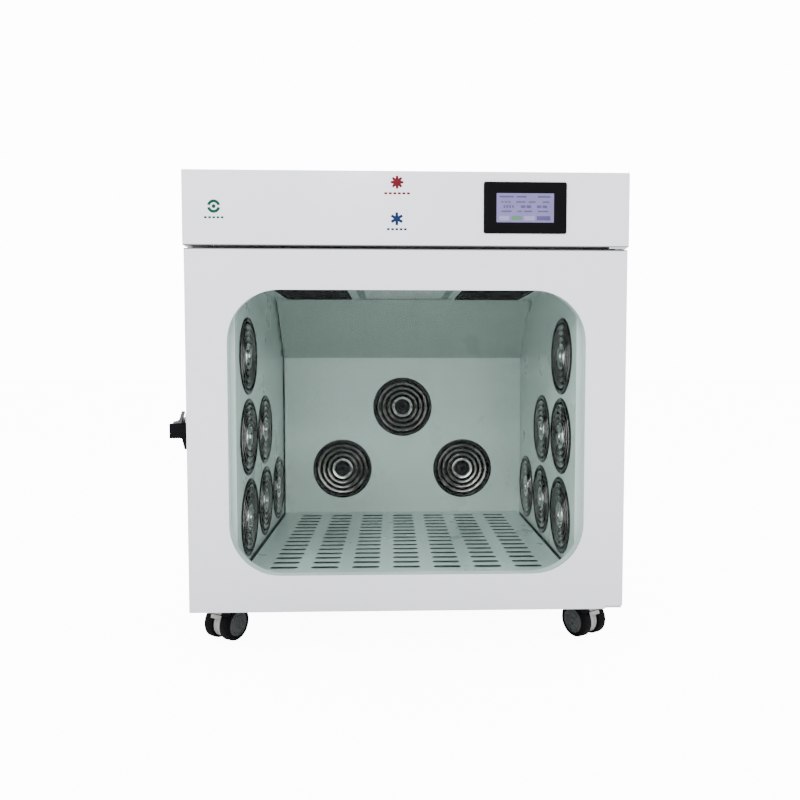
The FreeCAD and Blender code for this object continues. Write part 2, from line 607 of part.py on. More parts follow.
# ---------------------------------------------------------------- blower and heater
def blower():
    centre = ("0", "fan_y")
    duct_x, duct_y = ("-fan_rad", "-20"), ("fan_y", "fan_y + fan_rad + 12")
    outer = fuse(rod("z", centre, ("fan_low", "fan_high"), "fan_rad"),
                 box(duct_x, duct_y, ("fan_low", "fan_high")))
    inner = fuse(rod("z", centre, ("fan_low + sheet", "fan_high - sheet"), "fan_rad - sheet"),
                 box(("-fan_rad + sheet", "-20 - sheet"), ("fan_y", "fan_y + fan_rad + 13"),
                     ("fan_low + sheet", "fan_high - sheet")))
    mouths = rod("z", centre, ("fan_low - 1", "fan_low + 5"), "55")
    shaft_hole = rod("z", centre, ("fan_high - 5", "fan_high + 1"), "12")
    node(cut(outer, inner, mouths, shaft_hole), "blower_housing")

    motor = fuse(rod("z", centre, ("fan_high", "fan_high + 48"), "motor_rad"),
                 rod("z", centre, ("fan_low + 20", "fan_high"), "axle_rad"))
    node(motor, "blower_motor")

    wheel = body("blower_impeller", ("0", "fan_y", "0"))
    extrude(wheel, "Pad", "XY_Plane", ("fan_high - 14", "fan_high - 11"),
            both(circle("0", "0", "wheel_rad"), circle("0", "0", "axle_rad + pin_fit")))
    extrude(wheel, "Pad", "XY_Plane", ("fan_high - 40", "fan_high - 14"),
            both(circle("0", "0", "12"), circle("0", "0", "axle_rad + pin_fit")))
    blade = extrude(wheel, "Pad", "XY_Plane", ("fan_low + 8", "fan_high - 12"),
                    rectangle(("wheel_rad - 16", "wheel_rad - 1"), ("-1", "1")))
    before = wheel.Shape.Volume
    fan = wheel.newObject("PartDesign::PolarPattern", "blades")
    fan.Originals = [blade]
    fan.Axis = (blade.Profile[0], ["N_Axis"])
    fan.Angle = 360
    fan.Occurrences = 24
    wheel.Tip = fan
    doc.recompute()
    assert wheel.Shape.Volume > before, "blades were not repeated"
    extrude(wheel, "Pad", "XY_Plane", ("fan_low + 8", "fan_low + 11"),
            both(circle("0", "0", "wheel_rad"), circle("0", "0", "wheel_rad - 17")))

    across, along, height = ("-98", "-22"), ("fan_y + fan_rad + 13", "fan_y + fan_rad + 43"), ("622", "698")
    case = box(across, along, height)
    gaps = [box(("%g" % start, "%g" % (start + 6)), ("fan_y + fan_rad + 10", "fan_y + fan_rad + 46"),
                ("626", "694")) for start in range(-94, -30, 9)]
    node(cut(case, *gaps), "heater_element")


# ---------------------------------------------------------------- castors
CORNERS = (("front_left", -1, "castor_front", "-castor_turn"),
           ("front_right", 1, "castor_front", "castor_turn"),
           ("rear_left", -1, "castor_rear", "180"), ("rear_right", 1, "castor_rear", "180"))


def castor(corner, side, along, turn):
    """Twin-wheel castor about its kingpin: a turning hood, and a wheel pair on one axle."""
    spot = ("%d*castor_x" % side, along, "-castor_h")
    half = "web_half + 0.5 + tyre_w"
    hub_line = ("-trail", "tyre_rad")

    guard = cut(rod("x", hub_line, ("-(%s)" % half, half), "tyre_rad + 5", LOCAL),
                rod("x", hub_line, ("-(%s) - 1" % half, half + " + 1"), "tyre_rad + 2.5", LOCAL))
    arch = doc.addObject("Part::Common", "arch")
    arch.Base = fuse(guard, rod("x", hub_line, ("-web_half", "web_half"), "tyre_rad + 3", LOCAL))
    arch.Tool = box(("-50", "50"), ("-trail - 30", "-trail + 30"), ("tyre_rad + 8", "castor_h"), LOCAL)
    solid = fuse(rod("x", hub_line, ("-web_half", "web_half"), "tyre_rad - 5", LOCAL), arch,
                 rod("z", ("0", "0"), ("castor_h - 16.5", "castor_h - 3.5"), "13", LOCAL))
    hood = cut(solid, rod("x", hub_line, ("-50", "50"), "axle_rad + pin_fit", LOCAL),
               rod("z", ("0", "0"), ("castor_h - 16.5", "castor_h"), "kingpin_rad + pin_fit", LOCAL))

    pair = [rod("x", hub_line, ("-(%s)" % half, half), "axle_rad", LOCAL)]
    for low, high in (("web_half + 0.5", half), ("-(%s)" % half, "-web_half - 0.5")):
        pair.append(rod("x", hub_line, (low, high), "tyre_rad", LOCAL))
    wheels = fuse(*pair)

    about_z = FreeCAD.Rotation(FreeCAD.Vector(0, 0, 1), 1)
    for piece, name in ((hood, "castor_hood_"), (wheels, "castor_wheels_")):
        piece.Placement = FreeCAD.Placement(FreeCAD.Vector(), about_z)
        bind(piece, "Placement.Rotation.Angle", turn)
        place(piece, spot)
        node(piece, name + corner)


def castors():
    for corner in CORNERS:
        castor(*corner)
    plates, screws = [], []
    for _, side, along, _ in CORNERS:
        x = "%d*castor_x" % side
        plate = box((x + " - plate_half", x + " + plate_half"),
                    (along + " - plate_half", along + " + plate_half"), ("-3", "0"))
        plates.append(fuse(plate, rod("z", (x, along), ("-15", "0"), "kingpin_rad")))
        for dx in ("- screw_in", "+ screw_in"):
            for dy in ("- screw_in", "+ screw_in"):
                screws.append(rod("z", (x + dx, along + dy), ("-5.2", "-3"), "4"))
    for x in (-365, -125, 125, 365):
        for z in (15, 619):
            screws.append(rod("y", ("%d" % x, "%d" % z), ("depth", "depth + 2.2"), "4.5"))
    for x in (-365, 0, 365):
        screws.append(rod("y", ("%d" % x, "745"), ("depth", "depth + 2.2"), "4.5"))
    node(group(*plates), "castor_plates")
    node(group(*screws), "fasteners")


# ---------------------------------------------------------------- build, test and write
shell()
chamber()
air_outlets()
controls()
door()
latch()
services()
blower()
castors()
doc.recompute()

for item in doc.Objects:
    assert "Invalid" not in item.State and "Error" not in item.State, (item.Label, item.State)
labels = [item.Label for item in NODES]
assert len(labels) == len(set(labels)) <= 60, len(labels)
os.makedirs("parts", exist_ok=True)
for item in NODES:
    assert not item.Shape.isNull() and item.Shape.isValid() and item.Shape.Solids, item.Label
    item.Shape.exportStep(os.path.join("parts", item.Label + ".step"))
whole = FreeCAD.BoundBox()
for item in NODES:
    whole.add(item.Shape.BoundBox)
print(len(NODES), "nodes", whole)
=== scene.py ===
import json
import math

import bmesh
import bpy
from mathutils import Matrix, Vector


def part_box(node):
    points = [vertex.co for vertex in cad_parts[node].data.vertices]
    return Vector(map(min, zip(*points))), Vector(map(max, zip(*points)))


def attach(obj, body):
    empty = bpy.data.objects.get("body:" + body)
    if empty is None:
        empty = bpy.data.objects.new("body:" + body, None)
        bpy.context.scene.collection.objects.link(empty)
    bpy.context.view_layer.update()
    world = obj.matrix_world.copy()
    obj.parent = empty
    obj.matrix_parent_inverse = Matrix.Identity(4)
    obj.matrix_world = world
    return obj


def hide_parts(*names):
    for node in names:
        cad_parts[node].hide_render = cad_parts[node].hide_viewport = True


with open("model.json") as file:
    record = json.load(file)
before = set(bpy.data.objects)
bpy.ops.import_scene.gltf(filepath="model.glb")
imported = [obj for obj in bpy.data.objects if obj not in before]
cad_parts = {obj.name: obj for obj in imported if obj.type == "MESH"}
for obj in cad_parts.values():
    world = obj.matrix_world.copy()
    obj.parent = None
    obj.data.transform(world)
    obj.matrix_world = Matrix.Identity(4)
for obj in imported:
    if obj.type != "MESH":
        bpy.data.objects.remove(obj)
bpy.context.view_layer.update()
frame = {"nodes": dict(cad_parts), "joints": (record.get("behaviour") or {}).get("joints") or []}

NODES = frame["nodes"]
JOINTS = {joint["name"]: joint for joint in frame["joints"]}
MM = 0.001

# Reference places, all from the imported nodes.
DOOR_LOW, DOOR_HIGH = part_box("door_outer_skin")
HOOD_LOW, HOOD_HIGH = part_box("top_hood")
FASCIA_LOW, FASCIA_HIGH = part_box("control_fascia")
GLASS_LOW, GLASS_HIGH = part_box("door_glass")
SIDE_LOW, SIDE_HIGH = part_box("left_side_panel")
REAR_LOW, REAR_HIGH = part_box("rear_panel")
FLOOR_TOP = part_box("floor_grille")[1].z
MIDDLE = (DOOR_LOW.x + DOOR_HIGH.x) / 2
FRONT = DOOR_LOW.y
BASE = SIDE_LOW.z

GLASS_MARGIN = 14 * MM          # how far the pane reaches past the window on every side
WINDOW_ROUND = 88 * MM
SHEET = 1.5 * MM
FOLD = 2.4 * MM                 # outside radius of a folded edge
CORNER = 1.5 * MM               # round of a pan's corners, seen square on
EASE = 0.15 * MM                # rounding of a cut sheet edge
FINEST = 0.2 * MM               # smallest corner radius of a pan


# ================================================================ materials
MIX_FIRST, MIX_SECOND, MIX_RESULT = 6, 7, 2     # a Mix node's colour sockets
PANE_IOR = 1.12                 # mirrors less than real glass, as in the photograph


class Nodes:
    """A material's node tree with short calls for what the surfaces here share."""

    def __init__(self, name):
        self.material = bpy.data.materials.new(name)
        self.material.use_nodes = True
        self.tree = self.material.node_tree
        self.shader = self.tree.nodes["Principled BSDF"]
        self.output = self.tree.nodes["Material Output"]
        self.place = self.tree.nodes.new("ShaderNodeTexCoord").outputs["Object"]

    def set(self, **values):
        for name, value in values.items():
            self.shader.inputs[name.replace("_", " ")].default_value = value

    def noise(self, scale, detail=3.0, roughness=0.5, stretch=None):
        made = self.tree.nodes.new("ShaderNodeTexNoise")
        made.inputs["Scale"].default_value = scale
        made.inputs["Detail"].default_value = detail
        made.inputs["Roughness"].default_value = roughness
        source = self.place
        if stretch:
            mapping = self.tree.nodes.new("ShaderNodeMapping")
            mapping.inputs["Scale"].default_value = stretch
            self.tree.links.new(self.place, mapping.inputs["Vector"])
            source = mapping.outputs["Vector"]
        self.tree.links.new(source, made.inputs["Vector"])
        return made.outputs["Fac"]

    def cells(self, scale, feature="F1"):
        made = self.tree.nodes.new("ShaderNodeTexVoronoi")
        made.feature = feature
        made.inputs["Scale"].default_value = scale
        self.tree.links.new(self.place, made.inputs["Vector"])
        return made

    def spread(self, source, low, high, start=0.3, stop=0.7):
        """Map a factor to a range of numbers."""
        made = self.tree.nodes.new("ShaderNodeMapRange")
        for name, value in (("From Min", start), ("From Max", stop), ("To Min", low), ("To Max", high)):
            made.inputs[name].default_value = value
        self.tree.links.new(source, made.inputs["Value"])
        return made.outputs["Result"]

    def blend(self, source, first, second, start=0.35, stop=0.65):
        """Mix two colours by a factor."""
        made = self.tree.nodes.new("ShaderNodeMix")
        made.data_type = "RGBA"
        made.inputs[MIX_FIRST].default_value = (*first, 1)
        made.inputs[MIX_SECOND].default_value = (*second, 1)
        self.tree.links.new(self.spread(source, 0, 1, start, stop), made.inputs[0])
        return made.outputs[MIX_RESULT]

    def darken(self, colour, source, factor):
        """Multiply a colour by a factor where the source is one."""
        made = self.tree.nodes.new("ShaderNodeMix")
        made.data_type = "RGBA"
        made.blend_type = "MULTIPLY"
        made.inputs[MIX_SECOND].default_value = (factor, factor, factor, 1)
        self.tree.links.new(colour, made.inputs[MIX_FIRST])
        self.tree.links.new(source, made.inputs[0])
        return made.outputs[MIX_RESULT]

    def link(self, source, name):
        self.tree.links.new(source, self.shader.inputs[name])

    def bump(self, *layers):
        """Stack bump layers given as (height source, strength, distance)."""
        normal = None
        for source, strength, distance in layers:
            made = self.tree.nodes.new("ShaderNodeBump")
            made.inputs["Strength"].default_value = strength
            made.inputs["Distance"].default_value = distance
            self.tree.links.new(source, made.inputs["Height"])
            if normal:
                self.tree.links.new(normal, made.inputs["Normal"])
            normal = made.outputs["Normal"]
        self.tree.links.new(normal, self.shader.inputs["Normal"])


def shade(colour, factor):
    """A colour with every channel multiplied."""
    return tuple(channel * factor for channel in colour)


def powder_coat(name, colour, gloss=0.34, peel=0.22, shine=0.5, shade_fades=()):
    """Baked powder coat: broad tone drift, a fine orange-peel skin and faint handling haze.
    Each fade of (axis, start, end, factor) darkens the paint between two places on an axis, as painted shade."""
    made = Nodes(name)
    made.set(Specular_IOR_Level=shine, Coat_Weight=0.5 * shine, Coat_Roughness=0.18)
    tone = made.blend(made.noise(2.2, 4), shade(colour, 0.965), shade(colour, 1.02))
    # Painted shade: darken the tone between the two places of each fade.
    for axis, start, end, factor in shade_fades:
        split = made.tree.nodes.new("ShaderNodeSeparateXYZ")
        made.tree.links.new(made.place, split.inputs[0])
        tone = made.darken(tone, made.spread(split.outputs[axis], 0, 1, start, end), factor)
    made.link(tone, "Base Color")
    made.link(made.spread(made.noise(9, 6, 0.6), gloss - 0.05, gloss + 0.07), "Roughness")
    made.bump((made.noise(420, 2), peel, 0.00018), (made.noise(60, 2), 0.10, 0.0004))
    return made.material


def brushed_metal(name, colour, rough, stretch):
    """Drawn or brushed metal: streaks along one direction with small pits."""
    made = Nodes(name)
    made.set(Metallic=1.0)
    streaks = made.noise(700, 4, 0.6, stretch)
    made.link(made.blend(streaks, shade(colour, 0.86), colour), "Base Color")
    made.link(made.spread(streaks, rough - 0.06, rough + 0.10), "Roughness")
    made.bump((streaks, 0.12, 0.0001), (made.noise(1500, 2), 0.05, 0.00005))
    return made.material


def galvanised(name):
    """Zinc sheet with its flower pattern."""
    made = Nodes(name)
    made.set(Metallic=1.0)
    flowers = made.cells(90)
    made.link(made.blend(flowers.outputs["Color"], (0.42, 0.44, 0.46), (0.62, 0.64, 0.66), 0.1, 0.9),
              "Base Color")
    made.link(made.spread(made.noise(160), 0.30, 0.50), "Roughness")
    made.bump((made.noise(300), 0.08, 0.0001))
    return made.material


def polished(name, colour, rough):
    """Bright plating with faint drying marks and tiny pits."""
    made = Nodes(name)
    made.set(Metallic=1.0)
    haze = made.noise(45, 5, 0.6)
    made.link(made.blend(haze, shade(colour, 0.85), colour, 0.3, 0.75), "Base Color")
    made.link(made.spread(haze, rough, rough + 0.06), "Roughness")
    made.bump((made.noise(900, 2), 0.02, 0.00002))
    return made.material


def plastic(name, colour, rough, grain=0.15, scale=1600, shine=0.5):
    """Moulded plastic with a spark-eroded grain."""
    made = Nodes(name)
    made.set(Specular_IOR_Level=shine)
    made.link(made.blend(made.noise(30, 4), shade(colour, 0.88), shade(colour, 1.1)), "Base Color")
    made.link(made.spread(made.noise(220, 3), rough - 0.06, rough + 0.08), "Roughness")
    made.bump((made.noise(scale, 2), grain, 0.0001))
    return made.material


def rubber(name, colour=(0.010, 0.010, 0.011), shine=0.2):
    """Matt black rubber with a dusty bloom."""
    made = Nodes(name)
    made.set(Specular_IOR_Level=shine)
    bloom = made.noise(55, 5, 0.65)
    made.link(made.blend(bloom, colour, shade(colour, 2.1), 0.4, 0.8), "Base Color")
    made.link(made.spread(bloom, 0.55, 0.78), "Roughness")
    made.bump((made.noise(1200, 3), 0.25, 0.00012))
    return made.material


def pane(name, tint):
    """Clear tempered glass, slightly green. Light on its way to other surfaces passes straight
    through, so that what is behind it is lit as well as it would be."""
    made = Nodes(name)
    made.set(Transmission_Weight=1.0, IOR=PANE_IOR, Roughness=0.0)
    made.shader.inputs["Base Color"].default_value = (*tint, 1)
    nodes, links = made.tree.nodes, made.tree.links
    clear = nodes.new("ShaderNodeBsdfTransparent")
    clear.inputs["Color"].default_value = (*shade(tint, 0.97), 1)
    path = nodes.new("ShaderNodeLightPath")
    surface = made.shader.outputs["BSDF"]
    for ray in ("Is Shadow Ray", "Is Diffuse Ray"):
        mix = nodes.new("ShaderNodeMixShader")
        links.new(path.outputs[ray], mix.inputs["Fac"])
        links.new(surface, mix.inputs[1])
        links.new(clear.outputs["BSDF"], mix.inputs[2])
        surface = mix.outputs["Shader"]
    links.new(surface, made.output.inputs["Surface"])
    return made.material


def glowing(name, colour, strength, body):
    """Lit surface, such as a diffuser or a display area, with a slight unevenness. The body
    is the share of the colour that it shows unlit."""
    variation = 0.06
    made = Nodes(name)
    made.set(Roughness=0.35, Emission_Strength=strength, Specular_IOR_Level=0.2)
    source = made.noise(60, 2)
    low, high = shade(colour, 1 - variation), shade(colour, 1 + variation)
    made.link(made.blend(source, low, high), "Emission Color")
    made.link(made.blend(source, shade(low, body), shade(high, body)), "Base Color")
    return made.material


def circuit_board(name):
    """Green circuit board with paler tracks."""
    made = Nodes(name)
    made.set(Roughness=0.35)
    tracks = made.cells(260, "DISTANCE_TO_EDGE")
    made.link(made.blend(tracks.outputs["Distance"], (0.05, 0.22, 0.10), (0.012, 0.10, 0.045), 0.0, 0.12),
              "Base Color")
    made.bump((tracks.outputs["Distance"], 0.1, 0.0001))
    return made.material


def seam(axis, edge, inward):
    """Fade that draws the shadowed joint along a panel's edge; inward is +1 or -1."""
    return (axis, edge + inward * 1.9 * MM, edge + inward * 1.1 * MM, 0.22)


WHITE = (0.635, 0.643, 0.678)    # cabinet paint
ROOM = (0.53, 0.580, 0.562)      # chamber paint, grey-green
FOLD_LINE = BASE + 454 * MM      # the rear wall leans forward above this height
# Painted shade: the leaning part of the back wall is darker than the upright part.
SLOPE_PAINTED_SHADE = ("Z", FOLD_LINE - 2 * MM, FOLD_LINE + 2 * MM, 0.60)
# Painted shade: walls and floor slot edges turn near black just below the floor's top.
UNDER_FLOOR_PAINTED_SHADE = ("Z", FLOOR_TOP - 0.3 * MM, FLOOR_TOP - 0.9 * MM, 0.03)
# Painted shade on the door: darker towards the bottom, and a dark band just below the top edge as painted
# shadow of the gap under the fascia.
DOOR_PAINTED_SHADE = [("Z", BASE + 300 * MM, BASE + 10 * MM, 0.84),
              ("Z", DOOR_HIGH.z - 2.9 * MM, DOOR_HIGH.z - 2.1 * MM, 0.10)]
REAR_SEAMS = [seam("X", REAR_LOW.x, 1), seam("X", REAR_HIGH.x, -1),
              seam("Z", REAR_LOW.z, 1), seam("Z", REAR_HIGH.z, -1)]

# Every material, under the short name that the pieces below ask for.
M = {
    "white": powder_coat("powder_coat_white", WHITE),
    "door": powder_coat("powder_coat_door", WHITE, shade_fades=DOOR_PAINTED_SHADE),
    "rear": powder_coat("powder_coat_rear", WHITE, shade_fades=REAR_SEAMS),
    "side": powder_coat("powder_coat_side", WHITE, shade_fades=[seam("Z", SIDE_HIGH.z, -1)]),
    "hood": powder_coat("powder_coat_hood", WHITE, shade_fades=[seam("Z", HOOD_LOW.z, 1)]),
    "fascia": powder_coat("powder_coat_fascia", WHITE, shade_fades=[seam("Z", FASCIA_LOW.z, 1)]),
    "frame": powder_coat("powder_coat_frame", (0.66, 0.69, 0.685), 0.36),
    # Side walls and ceiling: the back wall's paint darkened, as painted shade, with painted shade below the
    # floor's top.
    "room": powder_coat("powder_coat_chamber", shade(ROOM, 0.93), 0.30, 0.16, 0.5, [UNDER_FLOOR_PAINTED_SHADE]),
    # Back wall paint, with painted shade on its leaning part.
    "room_back": powder_coat("powder_coat_back", ROOM, 0.30, 0.16, 0.5, [SLOPE_PAINTED_SHADE]),
    "room_floor": powder_coat("powder_coat_floor", (0.44, 0.495, 0.487), 0.30, 0.16, 0.5, [UNDER_FLOOR_PAINTED_SHADE]),
    # Lamp rim: the chamber paint darkened to about a third, as painted shade.
    "lamp_rim": powder_coat("powder_coat_lamp_rim", (0.16, 0.185, 0.18), 0.40, 0.16),
    "return": powder_coat("powder_coat_return", (0.010, 0.010, 0.011), 0.60, 0.16, 0.05),
    # Drip tray: chamber paint darkened, as painted shade under the floor grille.
    "tray": powder_coat("powder_coat_tray", (0.075, 0.095, 0.095), 0.40, 0.16),
    # Near black: a real damper's coat, and painted shade deep in the outlets and the spigot.
    "dark_duct": powder_coat("duct_black_and_painted_shade", (0.008, 0.008, 0.009), 0.60, 0.16, 0.1),
    # Outlet plating as one metal in four tones: the rings, flange and boss darkened as painted dark
    # reflection, and the glint copy lightened as painted highlight.
    "chrome": polished("polished_chrome", (0.27, 0.245, 0.24), 0.05),
    "glint_chrome": polished("chrome_painted_glint", (0.74, 0.70, 0.69), 0.05),
    "flange": polished("outlet_flange_painted_dark_reflection", (0.022, 0.023, 0.022), 0.10),
    "boss": polished("outlet_boss_painted_dark_reflection", (0.035, 0.034, 0.036), 0.08),
    "zinc": galvanised("galvanised_sheet"),
    "steel": brushed_metal("brushed_steel", (0.56, 0.57, 0.58), 0.30, (1, 0.06, 1)),
    "dark_steel": brushed_metal("latch_steel", (0.085, 0.085, 0.09), 0.34, (1, 0.1, 1)),
    "bright_zinc": polished("bright_zinc", (0.62, 0.63, 0.65), 0.22),
    "bezel": plastic("bezel_gloss_black", (0.0015, 0.0014, 0.002), 0.32, 0.03, 1600, 0.04),
    "black": plastic("moulded_black", (0.0012, 0.0015, 0.0022), 0.45, 0.15, 1600, 0.05),
    "acetal": plastic("acetal_white", (0.60, 0.60, 0.58), 0.40),
    "castor": plastic("castor_nylon_grey", (0.22, 0.22, 0.215), 0.42, 0.2),
    "guard": plastic("castor_guard_black", (0.002, 0.002, 0.0022), 0.50, 0.2, 1600, 0.08),
    "disc": plastic("castor_disc_grey", (0.028, 0.031, 0.030), 0.38, 0.15, 1600, 0.3),
    "pedal": plastic("brake_tab_grey", (0.20, 0.20, 0.18), 0.40, 0.15),
    "impeller": plastic("impeller_black", (0.03, 0.03, 0.033), 0.5),
    "foam": plastic("filter_foam", (0.03, 0.03, 0.033), 0.9, 0.9, 500, 0.2),
    "rubber": rubber("black_rubber"),
    "tread": rubber("castor_tread", (0.0012, 0.0012, 0.0014), 0.05),
    "glass": pane("tempered_glass", (0.895, 0.968, 0.942)),
    "lamp": glowing("lamp_diffuser", (0.70, 0.78, 0.76), 0.12, 0.36),
    "board": circuit_board("board_mask"),
    "screen": glowing("screen_lilac", (0.33, 0.285, 0.61), 1.0, 0.05),
    "screen_dark": glowing("screen_marks", (0.15, 0.13, 0.36), 0.9, 0.05),
    "screen_light": glowing("screen_fields", (0.47, 0.46, 0.78), 1.0, 0.05),
    "screen_green": glowing("screen_green", (0.17, 0.40, 0.25), 0.9, 0.05),
    "ink_green": plastic("ink_green", (0.002, 0.045, 0.026), 0.45, 0.05, 1600, 0.05),
    "ink_red": plastic("ink_red", (0.095, 0.006, 0.012), 0.45, 0.05, 1600, 0.05),
    "ink_blue": plastic("ink_blue", (0.004, 0.016, 0.060), 0.45, 0.05, 1600, 0.05),
}


# ================================================================ mesh helpers
def metres(profile):
    """A profile of (radius, height) in millimetres, as metres."""
    return [(radius * MM, height * MM) for radius, height in profile]


def turned(angle, axis):
    """Rotation by an angle in degrees about an axis."""
    return Matrix.Rotation(math.radians(angle), 4, axis)


def new_piece(name, verts, faces, material, body="cabinet", smooth_below=35):
    """Mesh object from points and faces, smooth except at edges sharper than the angle."""
    mesh = bpy.data.meshes.new(name)
    mesh.from_pydata([tuple(v) for v in verts], [], faces)
    mesh.validate()
    piece = bpy.data.objects.new(name, mesh)
    bpy.context.scene.collection.objects.link(piece)
    smooth_shade(piece, smooth_below)
    mesh.materials.append(M[material])
    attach(piece, body)
    return piece


def smooth_shade(piece, angle):
    mesh = piece.data
    mesh.polygons.foreach_set("use_smooth", [True] * len(mesh.polygons))
    mesh.set_sharp_from_angle(angle=math.radians(angle))


def weighted(piece):
    """Keep flat faces flat beside rounded edges."""
    made = piece.modifiers.new("normals", "WEIGHTED_NORMAL")
    made.keep_sharp = True
    made.weight = 90
    return piece


def soften(node, material, width=0.5 * MM, segments=2):
    """Give a CAD node its material, and fine rounded edges by modifiers only."""
    piece = NODES[node]
    mesh = piece.data
    mesh.materials.clear()
    mesh.materials.append(M[material])
    if width:
        if "custom_normal" in mesh.attributes:
            mesh.attributes.remove(mesh.attributes["custom_normal"])
        mesh.polygons.foreach_set("use_smooth", [True] * len(mesh.polygons))
        merge = piece.modifiers.new("merge", "WELD")
        merge.merge_threshold = 0.00001
        edge = piece.modifiers.new("edges", "BEVEL")
        edge.width = width
        edge.segments = segments
        edge.limit_method = "ANGLE"
        edge.angle_limit = math.radians(40)
        edge.use_clamp_overlap = True
        weighted(piece)
    return piece


def corner_loop(left, right, low, high, radius, steps=8):
    """Points of a round-cornered rectangle, anticlockwise from the low left corner."""
    points = []
    centres = ((left + radius, low + radius, 180), (right - radius, low + radius, 270),
               (right - radius, high - radius, 0), (left + radius, high - radius, 90))
    for cx, cy, start in centres:
        for step in range(steps + 1):
            angle = math.radians(start + 90 * step / steps)
            points.append((cx + radius * math.cos(angle), cy + radius * math.sin(angle)))
    return points


def loft(name, loops, material, body="cabinet", ring=False, smooth_below=35):
    """Skin through loops of equal length; a ring joins the last loop to the first."""
    count = len(loops[0])
    verts = [point for loop in loops for point in loop]
    faces = []
    for index in range(len(loops) - (0 if ring else 1)):
        here, there = index * count, ((index + 1) % len(loops)) * count
        for step in range(count):
            after = (step + 1) % count
            faces.append((here + step, here + after, there + after, there + step))
    if not ring:
        faces.append(tuple(range(count))[::-1])
        faces.append(tuple(range((len(loops) - 1) * count, len(loops) * count)))
    piece = new_piece(name, verts, faces, material, body, smooth_below)
    outward(piece)
    return weighted(piece)


def outward(piece):
    """Make every face point out of its solid."""
    edit = bmesh.new()
    edit.from_mesh(piece.data)
    bmesh.ops.recalc_face_normals(edit, faces=edit.faces)
    edit.to_mesh(piece.data)
    edit.free()


def bend(radius, steps=4):
    """Steps round a fold: how far in from the side, and how far back from the face."""
    turns = [math.radians(90 * step / steps) for step in range(steps + 1)]
    return [(radius * (1 - math.sin(turn)), radius * (1 - math.cos(turn))) for turn in turns]


def folded_pan(name, span_u, span_v, depth, mapping, material):
    """Sheet pan: a flat face, folded edges, side walls, and the sheet's thickness inside."""
    def loop(inset, back, radius):
        flat = corner_loop(span_u[0] + inset, span_u[1] - inset, span_v[0] + inset, span_v[1] - inset,
                           max(radius, FINEST), 4)
        return [mapping(u, v, back) for u, v in flat]

    inside = CORNER - SHEET
    outer = [loop(inset, back, CORNER - inset) for inset, back in bend(FOLD)]
    outer.append(loop(0, depth - 2 * EASE, CORNER))
    rim = [loop(EASE, depth, CORNER), loop(SHEET - EASE, depth, inside)]
    inner = [loop(SHEET, depth - 2 * EASE, inside), loop(SHEET, FOLD + SHEET, inside),
             loop(FOLD + SHEET, SHEET, inside)]
    return loft(name, outer + rim + inner, material)


def lathe(name, rings, matrix, material, body="cabinet", segments=96):
    """Turn closed profiles of (radius, height) about the matrix's z axis."""
    verts, faces = [], []
    for profile in rings:
        base = len(verts)
        for step in range(segments):
            angle = 2 * math.pi * step / segments
            for radius, height in profile:
                verts.append(matrix @ Vector((radius * math.cos(angle), radius * math.sin(angle), height)))
        count = len(profile)
        for step in range(segments):
            here, there = base + step * count, base + ((step + 1) % segments) * count
            for index in range(count):
                after = (index + 1) % count
                faces.append((here + index, there + index, there + after, here + after))
    piece = new_piece(name, verts, faces, material, body, smooth_below=30)
    merge = piece.modifiers.new("merge", "WELD")
    merge.merge_threshold = 0.000005
    return piece


def slab(name, low, high, radius, material, body="cabinet", edge=0.4 * MM, axis="y"):
    """Round-cornered plate with eased edges, thin along the axis."""
    wide, tall, thin = {"x": (1, 2, 0), "y": (0, 2, 1), "z": (0, 1, 2)}[axis]

    def loop(inset, along):
        flat = corner_loop(low[wide] + inset, high[wide] - inset, low[tall] + inset, high[tall] - inset,
                           max(radius - inset, 0.05 * MM), 5)
        points = []
        for u, v in flat:
            point = [0, 0, 0]
            point[wide], point[tall], point[thin] = u, v, along
            points.append(point)
        return points

    near, far = low[thin], high[thin]
    loops = [loop(edge, near), loop(edge * 0.3, near + edge * 0.3), loop(0, near + edge),
             loop(0, far - edge), loop(edge * 0.3, far - edge * 0.3), loop(edge, far)]
    return loft(name, loops, material, body)


def join(name, pieces):
    """Join meshes into one piece, keeping each one's material."""
    bpy.ops.object.select_all(action="DESELECT")
    for piece in pieces:
        piece.select_set(True)
    bpy.context.view_layer.objects.active = pieces[0]
    bpy.ops.object.join()
    pieces[0].name = name
    pieces[0].data.name = name
    return pieces[0]


# ================================================================ cabinet shell
def window_loop(grow, y):
    """The window's outline on the door, made larger by grow."""
    low, high = GLASS_LOW, GLASS_HIGH
    flat = corner_loop(low.x + GLASS_MARGIN - grow, high.x - GLASS_MARGIN + grow,
                       low.z + GLASS_MARGIN - grow, high.z - GLASS_MARGIN + grow,
                       WINDOW_ROUND + grow, 12)
    return [(x, y, z) for x, z in flat]


def door_skin():
    """Front skin of the door: folded outer edges and a window whose edge is turned inward."""
    low, high = DOOR_LOW, DOOR_HIGH
    depth = high.y - low.y

    def edge_loop(inset, back):
        flat = corner_loop(low.x + inset, high.x - inset, low.z + inset, high.z - inset,
                           max(CORNER - inset, FINEST), 12)
        return [(x, FRONT + back, z) for x, z in flat]

    loops = [window_loop(0.3 * MM, FRONT + SHEET), window_loop(0, FRONT + SHEET - 0.3 * MM)]
    loops += [window_loop(0, FRONT + 0.8 * MM), window_loop(0.25 * MM, FRONT + 0.25 * MM),
              window_loop(0.8 * MM, FRONT)]
    loops += [edge_loop(inset, back) for inset, back in bend(FOLD)]
    loops += [edge_loop(0, depth - 2 * EASE), edge_loop(EASE, depth)]
    loops += [edge_loop(SHEET - EASE, depth), edge_loop(SHEET, depth - 2 * EASE),
              edge_loop(SHEET, FOLD + SHEET), edge_loop(FOLD + SHEET, SHEET)]
    piece = loft("door_skin", loops, "door", "door", ring=True)
    notch(piece)
    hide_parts("door_outer_skin")


